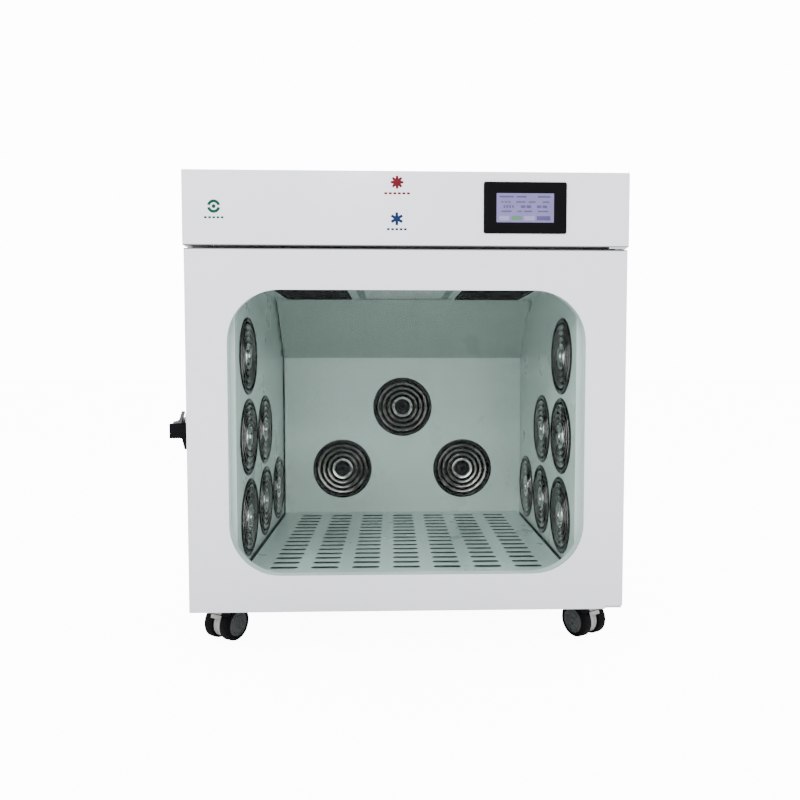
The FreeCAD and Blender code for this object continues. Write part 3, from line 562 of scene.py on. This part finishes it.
def notch(piece):
    """Cut the small step in the door's lower right corner that clears the pivot plate."""
    bush_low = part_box("hinge_bushes")[0]
    reach = 4 * MM
    bpy.ops.mesh.primitive_cube_add(size=1)
    cutter = bpy.context.object
    low = Vector((bush_low.x, DOOR_LOW.y - reach, DOOR_LOW.z - reach))
    high = Vector((DOOR_HIGH.x + reach, DOOR_HIGH.y + reach, bush_low.z))
    cutter.scale = high - low
    cutter.location = (low + high) / 2
    change = piece.modifiers.new("notch", "BOOLEAN")
    change.operation = "DIFFERENCE"
    change.object = cutter
    bpy.context.view_layer.update()
    shown = piece.evaluated_get(bpy.context.evaluated_depsgraph_get())
    mesh = bpy.data.meshes.new_from_object(shown)
    piece.modifiers.clear()
    piece.data = mesh
    bpy.data.objects.remove(cutter)
    smooth_shade(piece, 35)
    weighted(piece)


def shell():
    """Outside sheet metal: door skin, fascia, hood, sides and rear."""
    door_skin()
    pan = folded_pan("fascia_pan", (FASCIA_LOW.x, FASCIA_HIGH.x), (FASCIA_LOW.z, FASCIA_HIGH.z),
                     FASCIA_HIGH.y - FASCIA_LOW.y, lambda u, v, w: (u, FASCIA_LOW.y + w, v), "fascia")
    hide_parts("control_fascia")
    hood = folded_pan("hood_pan", (HOOD_LOW.x, HOOD_HIGH.x), (HOOD_LOW.y + 0.4 * MM, HOOD_HIGH.y),
                      HOOD_HIGH.z - HOOD_LOW.z, lambda u, v, w: (u, v, HOOD_HIGH.z - w), "hood")
    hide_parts("top_hood")
    for side in ("left", "right"):
        low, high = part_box(side + "_side_panel")
        face, sign = (low.x, 1) if side == "left" else (high.x, -1)
        made = folded_pan(side + "_side_pan", (low.y, high.y), (low.z, high.z), high.x - low.x,
                          lambda u, v, w, face=face, sign=sign: (face + sign * w, u, v), "side")
        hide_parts(side + "_side_panel")
    soften("rear_panel", "rear", 0.4 * MM)
    soften("front_frame", "frame", 0.5 * MM)
    soften("base_pan", "zinc", 0.4 * MM)
    soften("door_inner_skin", "white", 0.4 * MM)
    soften("door_glass", "glass", 0.6 * MM)
    soften("glass_gasket", "rubber", 0)
    soften("door_gasket", "rubber", 0.8 * MM)
    soften("hinge_bushes", "acetal", 0.4 * MM)
    soften("hinge_pivot_plates", "bright_zinc", 0.4 * MM)


# ================================================================ chamber
# Air outlet, as closed profiles of (radius, height above the wall) in millimetres.
OUTLET_FLANGE = [(75, 0), (75, 0.8), (74.2, 1.8), (72.4, 2.6), (70.4, 2.9), (68.2, 2.4), (66.4, 1.0),
                 (65.2, -1.6), (64.6, -5), (64.4, -11.6), (67.2, -11.6), (67.3, -0.2)]
OUTLET_RING = [(0, -6.2), (0.6, -4.6), (2.4, -2.0), (4.8, 0.0), (7.2, 1.3), (9.2, 1.9), (10.0, 1.6),
               (10.2, 1.0), (8.8, 0.4), (6.4, -0.8), (4.0, -2.6), (2.2, -4.8), (1.5, -6.2)]
OUTLET_BOSS = [(0.01, -2.4), (5.8, -2.4), (6.2, 0.6), (6.8, 2.0), (8.0, 2.5), (10.0, 1.9), (12.2, 0.2),
               (13.4, -2.6), (13.6, -6.2), (0.01, -6.2)]
OUTLET_CAP = [(0.01, 0.6), (2.8, 0.4), (4.8, -0.4), (5.6, -1.4), (5.6, -2.5), (0.01, -2.5)]
# Damper disc behind the rings: a real part, made near black so that the gaps between the rings read dark,
# partly painted shade.
OUTLET_DAMPER = [(0.01, -10.6), (62.0, -10.6), (64.3, -11.0), (64.3, -11.5), (0.01, -11.5)]
RING_ROOT, RING_PITCH, RING_COUNT = 15.5, 12.2, 4
OUTLET_PROUD = 3 * MM            # how far an outlet stands out from its wall


def outlet_rings():
    """Profiles of the cone rings, from the innermost."""
    profiles = []
    for index in range(RING_COUNT):
        root = RING_ROOT + RING_PITCH * index
        profiles.append(metres((root + radius, height) for radius, height in OUTLET_RING))
    return profiles


def outlet_bars(matrix):
    """Cross bars that carry the rings, as one flat cross."""
    reach, half, high, low = 64.5 * MM, 1.8 * MM, -6.0 * MM, -9.6 * MM
    outline = [(half, reach), (half, half), (reach, half), (reach, -half), (half, -half), (half, -reach),
               (-half, -reach), (-half, -half), (-reach, -half), (-reach, half), (-half, half),
               (-half, reach)]
    loops = [[matrix @ Vector((x, y, level)) for x, y in outline] for level in (low, high)]
    return loft("bars", loops, "boss")


def air_outlets():
    """Fifteen round outlets, each square to its wall."""
    turns = {"rear": turned(90, "X"), "left": turned(90, "Y"), "right": turned(-90, "Y")}
    walls = {"rear": ("y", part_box("vent_rear_1")[0].y + OUTLET_PROUD),
             "left": ("x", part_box("vent_left_1")[1].x - OUTLET_PROUD),
             "right": ("x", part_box("vent_right_1")[0].x + OUTLET_PROUD)}
    for node in sorted(name for name in NODES if name.startswith("vent_")):
        wall = node.split("_")[1]
        low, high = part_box(node)
        centre = (low + high) / 2
        setattr(centre, *walls[wall])
        matrix = Matrix.Translation(centre) @ turns[wall]
        rings = outlet_rings()
        # Side outlets' bosses take the lightened copy as a painted glint, rear ones the near-black copy as
        # painted dark reflection; the innermost ring is a painted highlight.
        boss_painted_tone = "boss" if wall == "rear" else "glint_chrome"
        parts = [lathe("flange", [metres(OUTLET_FLANGE)], matrix, "flange", segments=72),
                 lathe("inner_ring", rings[:1], matrix, "glint_chrome", segments=72),
                 lathe("rings", rings[1:], matrix, "chrome", segments=72),
                 lathe("boss", [metres(OUTLET_BOSS)], matrix, boss_painted_tone, segments=72),
                 outlet_bars(matrix),
                 lathe("cap", [metres(OUTLET_CAP)], matrix, "black", segments=48),
                 lathe("damper", [metres(OUTLET_DAMPER)], matrix, "dark_duct", segments=48)]
        for part in parts:
            outward(part)
        piece = join(node + "_spun", parts)
        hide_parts(node)


def chamber():
    """Chamber walls, floor and the ceiling's lamp and grilles."""
    for node in ("chamber_left_wall", "chamber_right_wall", "chamber_ceiling"):
        soften(node, "room", 0)
    soften("chamber_rear_wall", "room_back", 0)
    soften("drip_tray", "tray", 0)
    soften("floor_grille", "room_floor", 0)
    soften("return_air_grilles", "return", 0.3 * MM)
    soften("ceiling_lamp", "lamp_rim", 0.6 * MM)
    low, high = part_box("ceiling_lamp")
    rim = 16 * MM
    lamp = slab("lamp_diffuser", (low.x + rim, low.y + rim, low.z - 0.8 * MM),
                (high.x - rim, high.y - rim, low.z + 0.6 * MM), 4 * MM, "lamp", axis="z")
    air_outlets()


# ================================================================ fascia
DISPLAY_WIDE, DISPLAY_HIGH = 98 * MM, 49 * MM


def controls():
    """Bezel with a chamfered opening, and the display behind it."""
    low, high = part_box("touch_screen_bezel")
    border = Vector(((high.x - low.x - DISPLAY_WIDE) / 2, 0, (high.z - low.z - DISPLAY_HIGH) / 2))
    inner_low, inner_high = low + border, high - border
    face = low.y

    def loop(first, last, inset, y, radius):
        flat = corner_loop(first.x + inset, last.x - inset, first.z + inset, last.z - inset, radius, 5)
        return [(x, y, z) for x, z in flat]

    back = high.y
    loops = [loop(inner_low, inner_high, 0, back, 0.8 * MM),
             loop(inner_low, inner_high, 0, face + 1.0 * MM, 0.8 * MM),
             loop(inner_low, inner_high, -0.9 * MM, face + 0.15 * MM, 1.6 * MM),
             loop(inner_low, inner_high, -1.4 * MM, face, 2.0 * MM),
             loop(low, high, 1.2 * MM, face, 2.4 * MM),
             loop(low, high, 0.35 * MM, face + 0.35 * MM, 3.0 * MM),
             loop(low, high, 0, face + 1.1 * MM, 3.4 * MM), loop(low, high, 0, back, 3.4 * MM)]
    bezel = loft("screen_bezel", loops, "bezel", ring=True)
    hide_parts("touch_screen_bezel")
    soften("touch_screen_display", "black", 0.3 * MM)
    soften("control_board", "board", 0.3 * MM)
    screen(inner_low, inner_high, back)


# Rows of bars on the display: height of the row, half a bar's height, and each bar's start and end,
# as shares of the display.
SCREEN_ROWS = (
    (0.88, 0.030, ((0.05, 0.30), (0.34, 0.52), (0.72, 0.94))),
    (0.70, 0.024, ((0.08, 0.12), (0.14, 0.18), (0.20, 0.24), (0.34, 0.50), (0.56, 0.68), (0.80, 0.92))),
    (0.54, 0.045, ((0.12, 0.15), (0.17, 0.20), (0.22, 0.25), (0.27, 0.30), (0.42, 0.50), (0.52, 0.60),
                   (0.70, 0.78), (0.80, 0.88))),
    (0.38, 0.024, ((0.08, 0.26), (0.36, 0.44), (0.48, 0.62), (0.72, 0.90))))
SCREEN_KEYS = (("left", 0.05, 0.22, "screen_light"), ("run", 0.26, 0.44, "screen_green"),
               ("stop", 0.48, 0.66, "screen_light"), ("menu", 0.70, 0.94, "screen_dark"))


def screen(low, high, back):
    """Lit display with plain data fields: bars of different lengths and no lettering."""
    lift = 0.9 * MM
    glass = slab("screen_panel", (low.x, back - lift, low.z), (high.x, back, high.z), 0.8 * MM,
                 "screen", edge=0.15 * MM)
    width, height = high.x - low.x, high.z - low.z

    def field(name, x0, x1, z0, z1, material):
        piece = slab(name, (low.x + x0 * width, back - lift - 0.12 * MM, low.z + z0 * height),
                     (low.x + x1 * width, back - lift + 0.02 * MM, low.z + z1 * height),
                     0.4 * MM, material, edge=0.04 * MM)

    for row, (level, half, bars) in enumerate(SCREEN_ROWS):
        for index, (start, stop) in enumerate(bars):
            field("screen_field_%d_%d" % (row, index), start, stop, level - half, level + half,
                  "screen_dark")
    for key, start, stop, material in SCREEN_KEYS:
        field("screen_key_" + key, start, stop, 0.07, 0.22, material)


def decal(name, outline, material):
    """Thin printed shape on the fascia's front face."""
    front, back = FASCIA_LOW.y - 0.12 * MM, FASCIA_LOW.y + 0.02 * MM
    loops = [[(x, y, z) for x, z in outline] for y in (front, back)]
    loft(name, loops, material)


def disc(cx, cz, radius, steps=40, start=0, stop=360):
    """Points round a circle, or round an arc with both its ends."""
    count = steps if stop - start == 360 else steps + 1
    turns = [math.radians(start + (stop - start) * step / steps) for step in range(count)]
    return [(cx + radius * math.cos(turn), cz + radius * math.sin(turn)) for turn in turns]


def arc_band(cx, cz, inner, outer, start, stop):
    """Outline of a part of a ring."""
    return disc(cx, cz, outer, 28, start, stop) + disc(cx, cz, inner, 28, start, stop)[::-1]


def star(cx, cz, inner, outer, points, turn=90):
    """Outline with flat-tipped arms, used for the sun and the frost symbols."""
    outline = []
    for index in range(points):
        base = turn + 360 * index / points
        for offset, radius in ((-0.50, inner), (-0.20, outer), (0.20, outer)):
            angle = math.radians(base + offset * 360 / points)
            outline.append((cx + radius * math.cos(angle), cz + radius * math.sin(angle)))
    return outline


def printed_marks():
    """Three generic printed symbols, each with a row of plain dashes in place of a caption."""
    x, z = MIDDLE - 326 * MM, BASE + 698.5 * MM
    ring_inner, ring_outer = 6.2 * MM, 11.2 * MM
    decal("mark_ring_upper", arc_band(x, z, ring_inner, ring_outer, 12, 168), "ink_green")
    decal("mark_ring_lower", arc_band(x, z, ring_inner, ring_outer, 192, 348), "ink_green")
    decal("mark_ring_centre", disc(x, z, 3.4 * MM), "ink_green")
    dashes("mark_ring", x, z - 18.5 * MM, 35 * MM, "ink_green", 5)
    x, z = MIDDLE - 18 * MM, BASE + 740.5 * MM
    decal("mark_sun", star(x, z, 6.6 * MM, 11 * MM, 8), "ink_red")
    dashes("mark_sun", x, z - 18.5 * MM, 46 * MM, "ink_red", 6)
    x, z = MIDDLE - 18.5 * MM, BASE + 679.5 * MM
    decal("mark_frost", star(x, z, 5.0 * MM, 11 * MM, 6), "ink_blue")
    dashes("mark_frost", x, z - 17.5 * MM, 36 * MM, "ink_blue", 5)


def dashes(name, x, z, width, material, count):
    """A row of round-ended dashes centred on a place."""
    pitch, gap, half = width / count, 2.4 * MM, 1.7 * MM
    for index in range(count):
        start = x - width / 2 + index * pitch + gap / 2
        decal("%s_dash_%d" % (name, index),
              corner_loop(start, start + pitch - gap, z - half, z + half, 0.7 * MM, 3), material)


# ================================================================ fittings
def screw_head(name, matrix, radius, height):
    """Domed head with a hexagon socket."""
    steps, loops = 24, []
    for share, level in ((1.0, 0.0), (1.0, 0.35), (0.93, 0.72), (0.78, 0.94), (0.60, 1.0)):
        loops.append([(share, level)] * steps)
    for level in (1.0, 0.25):
        hexagon = []
        for step in range(steps):
            angle = math.radians(360 * step / steps % 60 - 30)
            hexagon.append((0.40 * math.cos(math.radians(30)) / math.cos(angle), level))
        loops.append(hexagon)
    points = []
    for loop in loops:
        placed = []
        for step, (share, level) in enumerate(loop):
            angle = 2 * math.pi * step / steps
            placed.append(matrix @ Vector((share * radius * math.cos(angle),
                                           share * radius * math.sin(angle), level * height)))
        points.append(placed)
    return loft(name, points, "bright_zinc", smooth_below=40)


def fasteners():
    """Panel screws on the back and castor screws underneath."""
    heads = []
    for low, high in split_boxes("fasteners"):
        size = high - low
        centre = (low + high) / 2
        if size.y < size.z:
            seat, turn, height = (centre.x, low.y, centre.z), turned(-90, "X"), size.y
        else:
            seat, turn, height = (centre.x, centre.y, high.z), turned(180, "X"), size.z
        heads.append(screw_head("head", Matrix.Translation(seat) @ turn, size.x / 2, height))
    piece = join("panel_screws", heads)
    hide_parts("fasteners")


def split_boxes(node):
    """Corners of each separate solid in a node."""
    mesh = NODES[node].data
    spots, parent = {}, list(range(len(mesh.vertices)))

    def root(index):
        while parent[index] != index:
            parent[index] = parent[parent[index]]
            index = parent[index]
        return index

    for vertex in mesh.vertices:
        key = tuple(round(value, 6) for value in vertex.co)
        parent[root(vertex.index)] = root(spots.setdefault(key, vertex.index))
    for edge in mesh.edges:
        parent[root(edge.vertices[0])] = root(edge.vertices[1])
    groups = {}
    for vertex in mesh.vertices:
        groups.setdefault(root(vertex.index), []).append(vertex.co)
    made = []
    for points in groups.values():
        low = Vector([min(p[axis] for p in points) for axis in range(3)])
        high = Vector([max(p[axis] for p in points) for axis in range(3)])
        made.append((low, high))
    return sorted(made, key=lambda pair: tuple(pair[0]))


def exhaust():
    """Duct spigot: screwed plate, beaded tube, finger guard, and a near-black disc across its throat as
    painted shade.
    """
    low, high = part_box("exhaust_spigot")
    centre = Vector(((low.x + high.x) / 2, low.y, (low.z + high.z) / 2))
    turn = Matrix.Translation(centre) @ turned(-90, "X")
    plate = slab("spigot_plate", (low.x, low.y, low.z), (high.x, low.y + 2 * MM, high.z), 6 * MM, "steel")
    length, bead, ease = high.y - low.y, 1.6 * MM, 0.4 * MM
    outer = 50 * MM
    body, bore = outer - bead, outer - bead - SHEET
    profile = [(outer, 0.5 * MM)]
    for step in range(9):
        angle = math.radians(180 * step / 8)
        profile.append((body + bead * math.sin(angle) if 0 < step < 8 else body,
                        length - 14 * MM - 2.4 * MM * math.cos(angle)))
    profile += [(body, length - ease), (body - ease, length), (bore + ease, length),
                (bore, length - ease), (bore, 0.5 * MM)]
    tube = lathe("spigot_tube", [profile], turn, "steel")
    rings = [metres([(radius, 2), (radius + 1.6, 2), (radius + 1.6, 3.6), (radius, 3.6)])
             for radius in range(4, 46, 8)]
    mesh = lathe("spigot_guard", rings, turn, "bright_zinc", segments=64)
    # Near-black disc across the bore, as painted shade inside the duct.
    throat = lathe("spigot_throat", [metres([(0.01, 0.6), (47, 0.6), (47, 1.2), (0.01, 1.2)])], turn,
                   "dark_duct", segments=48)
    screws = []
    for dx in (-52 * MM, 52 * MM):
        for dz in (-50 * MM, 50 * MM):
            spot = centre + Vector((dx, 2 * MM, dz))
            screws.append(screw_head("head", Matrix.Translation(spot) @ turned(-90, "X"), 3.6 * MM, 1.8 * MM))
    spigot = join("exhaust_collar", [plate, tube, mesh, throat, *screws])
    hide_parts("exhaust_spigot")


def rear_fittings():
    """Inlet, intake filter and exhaust on the rear panel."""
    soften("intake_grille", "white", 0.5 * MM)
    soften("power_inlet", "black", 0.4 * MM)
    exhaust()
    low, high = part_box("intake_grille")
    inset = 13 * MM
    foam = slab("intake_filter", (low.x + inset, low.y - 8 * MM, low.z + inset),
                (high.x - inset, low.y - 2 * MM, high.z - inset), 3 * MM, "foam")


def latch():
    soften("latch_base", "black", 0.7 * MM, 3)
    soften("latch_lever", "dark_steel", 0.4 * MM)
    soften("latch_keeper", "steel", 0.4 * MM)
    low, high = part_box("latch_base")
    spot = Vector((high.x - 3 * MM, high.y - 8 * MM, low.z + 8 * MM))
    matrix = Matrix.Translation(spot) @ turned(-90, "Y")
    screw_head("latch_screw", matrix, 3.4 * MM, 1.8 * MM)


def blower():
    """What the chamber hides: blower, motor and heater."""
    soften("blower_housing", "zinc", 0)
    soften("blower_motor", "steel", 0.8 * MM)
    soften("blower_impeller", "impeller", 0)
    soften("heater_element", "zinc", 0.4 * MM)


# ================================================================ castors
WHEEL_INNER, WHEEL_OUTER = 9.0, 29.5    # a wheel's two faces, in mm from the castor's middle plane
AXLE_ROD = [(0.01, -WHEEL_INNER), (3.9, -WHEEL_INNER), (3.9, WHEEL_INNER), (0.01, WHEEL_INNER)]


def tread_profile(radius):
    """Rounded tread, and the step its disc sits in, in millimetres."""
    inner, outer = WHEEL_INNER, WHEEL_OUTER
    return [(6, inner), (radius - 2.4, inner), (radius - 0.8, inner + 0.6), (radius, inner + 2.0),
            (radius, outer - 6.0), (radius - 0.7, outer - 3.0), (radius - 2.4, outer - 1.0),
            (radius - 4.8, outer - 0.1), (radius - 7.2, outer), (radius - 8.2, outer - 0.8),
            (radius - 8.6, outer - 2.6), (6, outer - 2.6)]


def disc_profile(radius):
    """Hub disc with shallow rings and an axle cap, in millimetres."""
    outer = WHEEL_OUTER
    return [(0.01, outer - 2.8), (radius - 8.5, outer - 2.8), (radius - 8.5, outer - 1.4),
            (radius - 9.3, outer - 0.8), (radius - 11.6, outer - 0.6), (radius - 12.4, outer - 1.5),
            (radius - 15.6, outer - 1.7), (radius - 16.4, outer - 0.9), (7.6, outer - 0.5),
            (6.9, outer - 1.4), (5.6, outer - 1.4), (5.0, outer - 0.4), (3.0, outer - 0.1),
            (0.01, outer - 0.05)]


def core_profile(rim):
    """Grooved body between the wheels, in millimetres."""
    return [(4.3, -8.4), (rim - 1.4, -8.4), (rim - 0.3, -7.8), (rim, -6.8), (rim, -3.0), (rim - 1.1, -2.2),
            (rim - 1.1, 2.2), (rim, 3.0), (rim, 6.8), (rim - 0.3, 7.8), (rim - 1.4, 8.4), (4.3, 8.4)]


def socket_profile(top):
    """Kingpin socket under the mounting plate, in millimetres."""
    return [(5.4, top - 12.6), (12.2, top - 12.6), (12.9, top - 11.6), (12.9, top - 5.0),
            (11.6, top - 4.0), (11.6, top - 1.4), (10.8, top - 0.4), (5.4, top - 0.4)]


def castor(corner):
    """Twin-wheel castor: treads, hub discs and axle on the wheels' body; core, guard, brake tab
    and socket on the turning body."""
    joint = JOINTS["wheel_roll_" + corner]
    axle, centre = Vector(joint["axis"]).normalized(), Vector(joint["pos_m"])
    up = Vector((0, 0, 1))
    frame_in = Matrix((axle, up.cross(axle), up)).transposed().to_4x4()
    frame_in.translation = centre
    to_axle = frame_in @ turned(90, "Y")
    wheels, turning = "wheels_" + corner, "castor_" + corner
    low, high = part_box("castor_wheels_" + corner)
    radius = (high.z - low.z) / 2 / MM
    parts = []
    for sign in (-1, 1):
        side = to_axle @ Matrix.Scale(sign, 4, (0, 0, 1))
        parts.append(lathe("tread", [metres(tread_profile(radius))], side, "tread", wheels, 64))
        parts.append(lathe("disc", [metres(disc_profile(radius))], side, "disc", wheels, 64))
    parts.append(lathe("axle", [metres(AXLE_ROD)], to_axle, "bright_zinc", wheels, 32))
    for part in parts:
        outward(part)
    pair = join("castor_wheel_pair_" + corner, parts)
    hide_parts("castor_wheels_" + corner)

    kingpin = Vector(JOINTS["castor_swivel_" + corner]["pos_m"])
    stem = Matrix.Translation((kingpin.x, kingpin.y, 0))
    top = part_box("castor_hood_" + corner)[1].z / MM
    pieces = [lathe("core", [metres(core_profile(radius - 4.6))], to_axle, "castor", turning, 64),
              guard(frame_in, radius, turning),
              lathe("socket", [metres(socket_profile(top))], stem, "bright_zinc", turning, 48),
              brake_tab(frame_in, radius, turning)]
    for piece in pieces:
        outward(piece)
    hood = join("castor_body_" + corner, pieces)
    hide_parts("castor_hood_" + corner)


def round_axle(frame_in, x, radius, angle):
    """Point at a radius and angle about the axle, x along it; lengths in millimetres."""
    return frame_in @ Vector((x * MM, radius * math.cos(angle) * MM, radius * math.sin(angle) * MM))


def guard(frame_in, radius, body):
    """Curved mudguard over both wheels, thickened down to the core between them."""
    loops = []
    steps, half_angle, across = 20, 52, 29.2
    for step in range(steps + 1):
        angle = math.radians(90 - half_angle + 2 * half_angle * step / steps)
        section = []
        for x, r in ((-across, radius + 2.8), (-across, radius + 4.2), (-across + 1.2, radius + 4.9),
                     (across - 1.2, radius + 4.9), (across, radius + 4.2), (across, radius + 2.8),
                     (8.2, radius + 2.6), (8.2, radius - 6.5), (-8.2, radius - 6.5), (-8.2, radius + 2.6)):
            section.append(round_axle(frame_in, x, r, angle))
        loops.append(section)
    return loft("guard", loops, "guard", body)


def brake_tab(frame_in, radius, body):
    """Foot tab over the front of the guard, with a stalk down to the core."""
    loops = []
    for degrees, lift, half in ((153, 1.2, 11.0), (151.5, 0.9, 11.6), (146, 1.8, 11.8),
                                (136, 3.4, 11.8), (124, 4.9, 10.4), (118, 5.0, 8.0)):
        section = []
        for x, extra in ((-half, 0), (-half, 1.4), (-half + 1.2, 2.2),
                         (half - 1.2, 2.2), (half, 1.4), (half, 0)):
            section.append(round_axle(frame_in, x, radius + lift + extra, math.radians(degrees)))
        loops.append(section)
    return loft("tab", loops, "pedal", body)


def castors():
    for corner in ("front_left", "front_right", "rear_left", "rear_right"):
        castor(corner)
    soften("castor_plates", "bright_zinc", 0.5 * MM)


# ================================================================ stage
CAMERA_OFFSET = Vector((-27.5, -1107.5, 424.4)) * MM   # from the door's front, at the cabinet's base
CAMERA_YAW, CAMERA_PITCH = math.radians(1.604), math.radians(2.636)
FOCAL_LENGTH, SENSOR = 29.08, 36.0
SHIFT = (-0.01225, -0.0009)
FLOOR_REACH, FLOOR_STEPS, FLOOR_DROP = 40.0, 96, 0.5 * MM
SKY_LIGHT, SKY_SEEN = 2.55, 14.0        # the sky as a light, and as the camera sees it
FLOOR_GLOW_SEEN = 11.0


def area_light(name, spot, aim, size, power):
    """Soft light at a spot, turned towards a place."""
    data = bpy.data.lights.new(name, "AREA")
    data.shape = "RECTANGLE"
    data.size, data.size_y = size
    data.energy = power
    lamp = bpy.data.objects.new(name, data)
    bpy.context.scene.collection.objects.link(lamp)
    lamp.location = spot
    lamp.rotation_euler = (Vector(aim) - Vector(spot)).to_track_quat("-Z", "Y").to_euler()
    lamp.visible_camera = False


def seen_directly(tree, socket, lighting, backdrop):
    """A strength for the light that falls on the object, and another for the backdrop itself."""
    path = tree.nodes.new("ShaderNodeLightPath")
    made = tree.nodes.new("ShaderNodeMapRange")
    made.inputs["To Min"].default_value = lighting
    made.inputs["To Max"].default_value = backdrop
    tree.links.new(path.outputs["Is Camera Ray"], made.inputs["Value"])
    tree.links.new(made.outputs["Result"], socket)


def stage():
    """Pale round floor, soft sky and four soft lights."""
    angles = [2 * math.pi * step / FLOOR_STEPS for step in range(FLOOR_STEPS)]
    ring = [(FLOOR_REACH * math.cos(angle), FLOOR_REACH * math.sin(angle), -FLOOR_DROP) for angle in angles]
    mesh = bpy.data.meshes.new("studio_floor")
    mesh.from_pydata(ring, [], [tuple(range(FLOOR_STEPS))])
    floor = bpy.data.objects.new("studio_floor", mesh)
    bpy.context.scene.collection.objects.link(floor)
    pale = Nodes("studio_floor")
    pale.set(Roughness=0.9, Specular_IOR_Level=0.2)
    pale.shader.inputs["Base Color"].default_value = (0.86, 0.86, 0.87, 1)
    pale.shader.inputs["Emission Color"].default_value = (1, 1, 1, 1)
    seen_directly(pale.tree, pale.shader.inputs["Emission Strength"], 0.0, FLOOR_GLOW_SEEN)
    mesh.materials.append(pale.material)

    world = bpy.data.worlds.new("studio")
    world.use_nodes = True
    sky = world.node_tree.nodes["Background"]
    sky.inputs["Color"].default_value = (0.985, 0.99, 1.0, 1)
    seen_directly(world.node_tree, sky.inputs["Strength"], SKY_LIGHT, SKY_SEEN)
    bpy.context.scene.world = world

    middle = (MIDDLE, 0, BASE + 0.35)
    area_light("key", (-1.5, -2.3, 2.2), middle, (0.9, 0.7), 45)
    area_light("fill", (2.1, -1.9, 1.3), middle, (0.7, 0.9), 18)
    area_light("top", (0.1, 0.1, 3.0), middle, (2.2, 1.8), 25)
    area_light("spark", (-0.15, -1.75, 1.35), middle, (0.12, 0.12), 6)


def camera():
    """Camera fitted to the photograph's view."""
    data = bpy.data.cameras.new("camera")
    data.lens, data.sensor_width = FOCAL_LENGTH, SENSOR
    data.shift_x, data.shift_y = SHIFT
    data.clip_start = 0.05
    made = bpy.data.objects.new("camera", data)
    bpy.context.scene.collection.objects.link(made)
    made.location = Vector((MIDDLE, FRONT, BASE)) + CAMERA_OFFSET
    made.rotation_euler = (math.radians(90) - CAMERA_PITCH, 0, -CAMERA_YAW)
    bpy.context.scene.camera = made


camera()
shell()
chamber()
controls()
printed_marks()
latch()
rear_fittings()
fasteners()
blower()
castors()
stage()
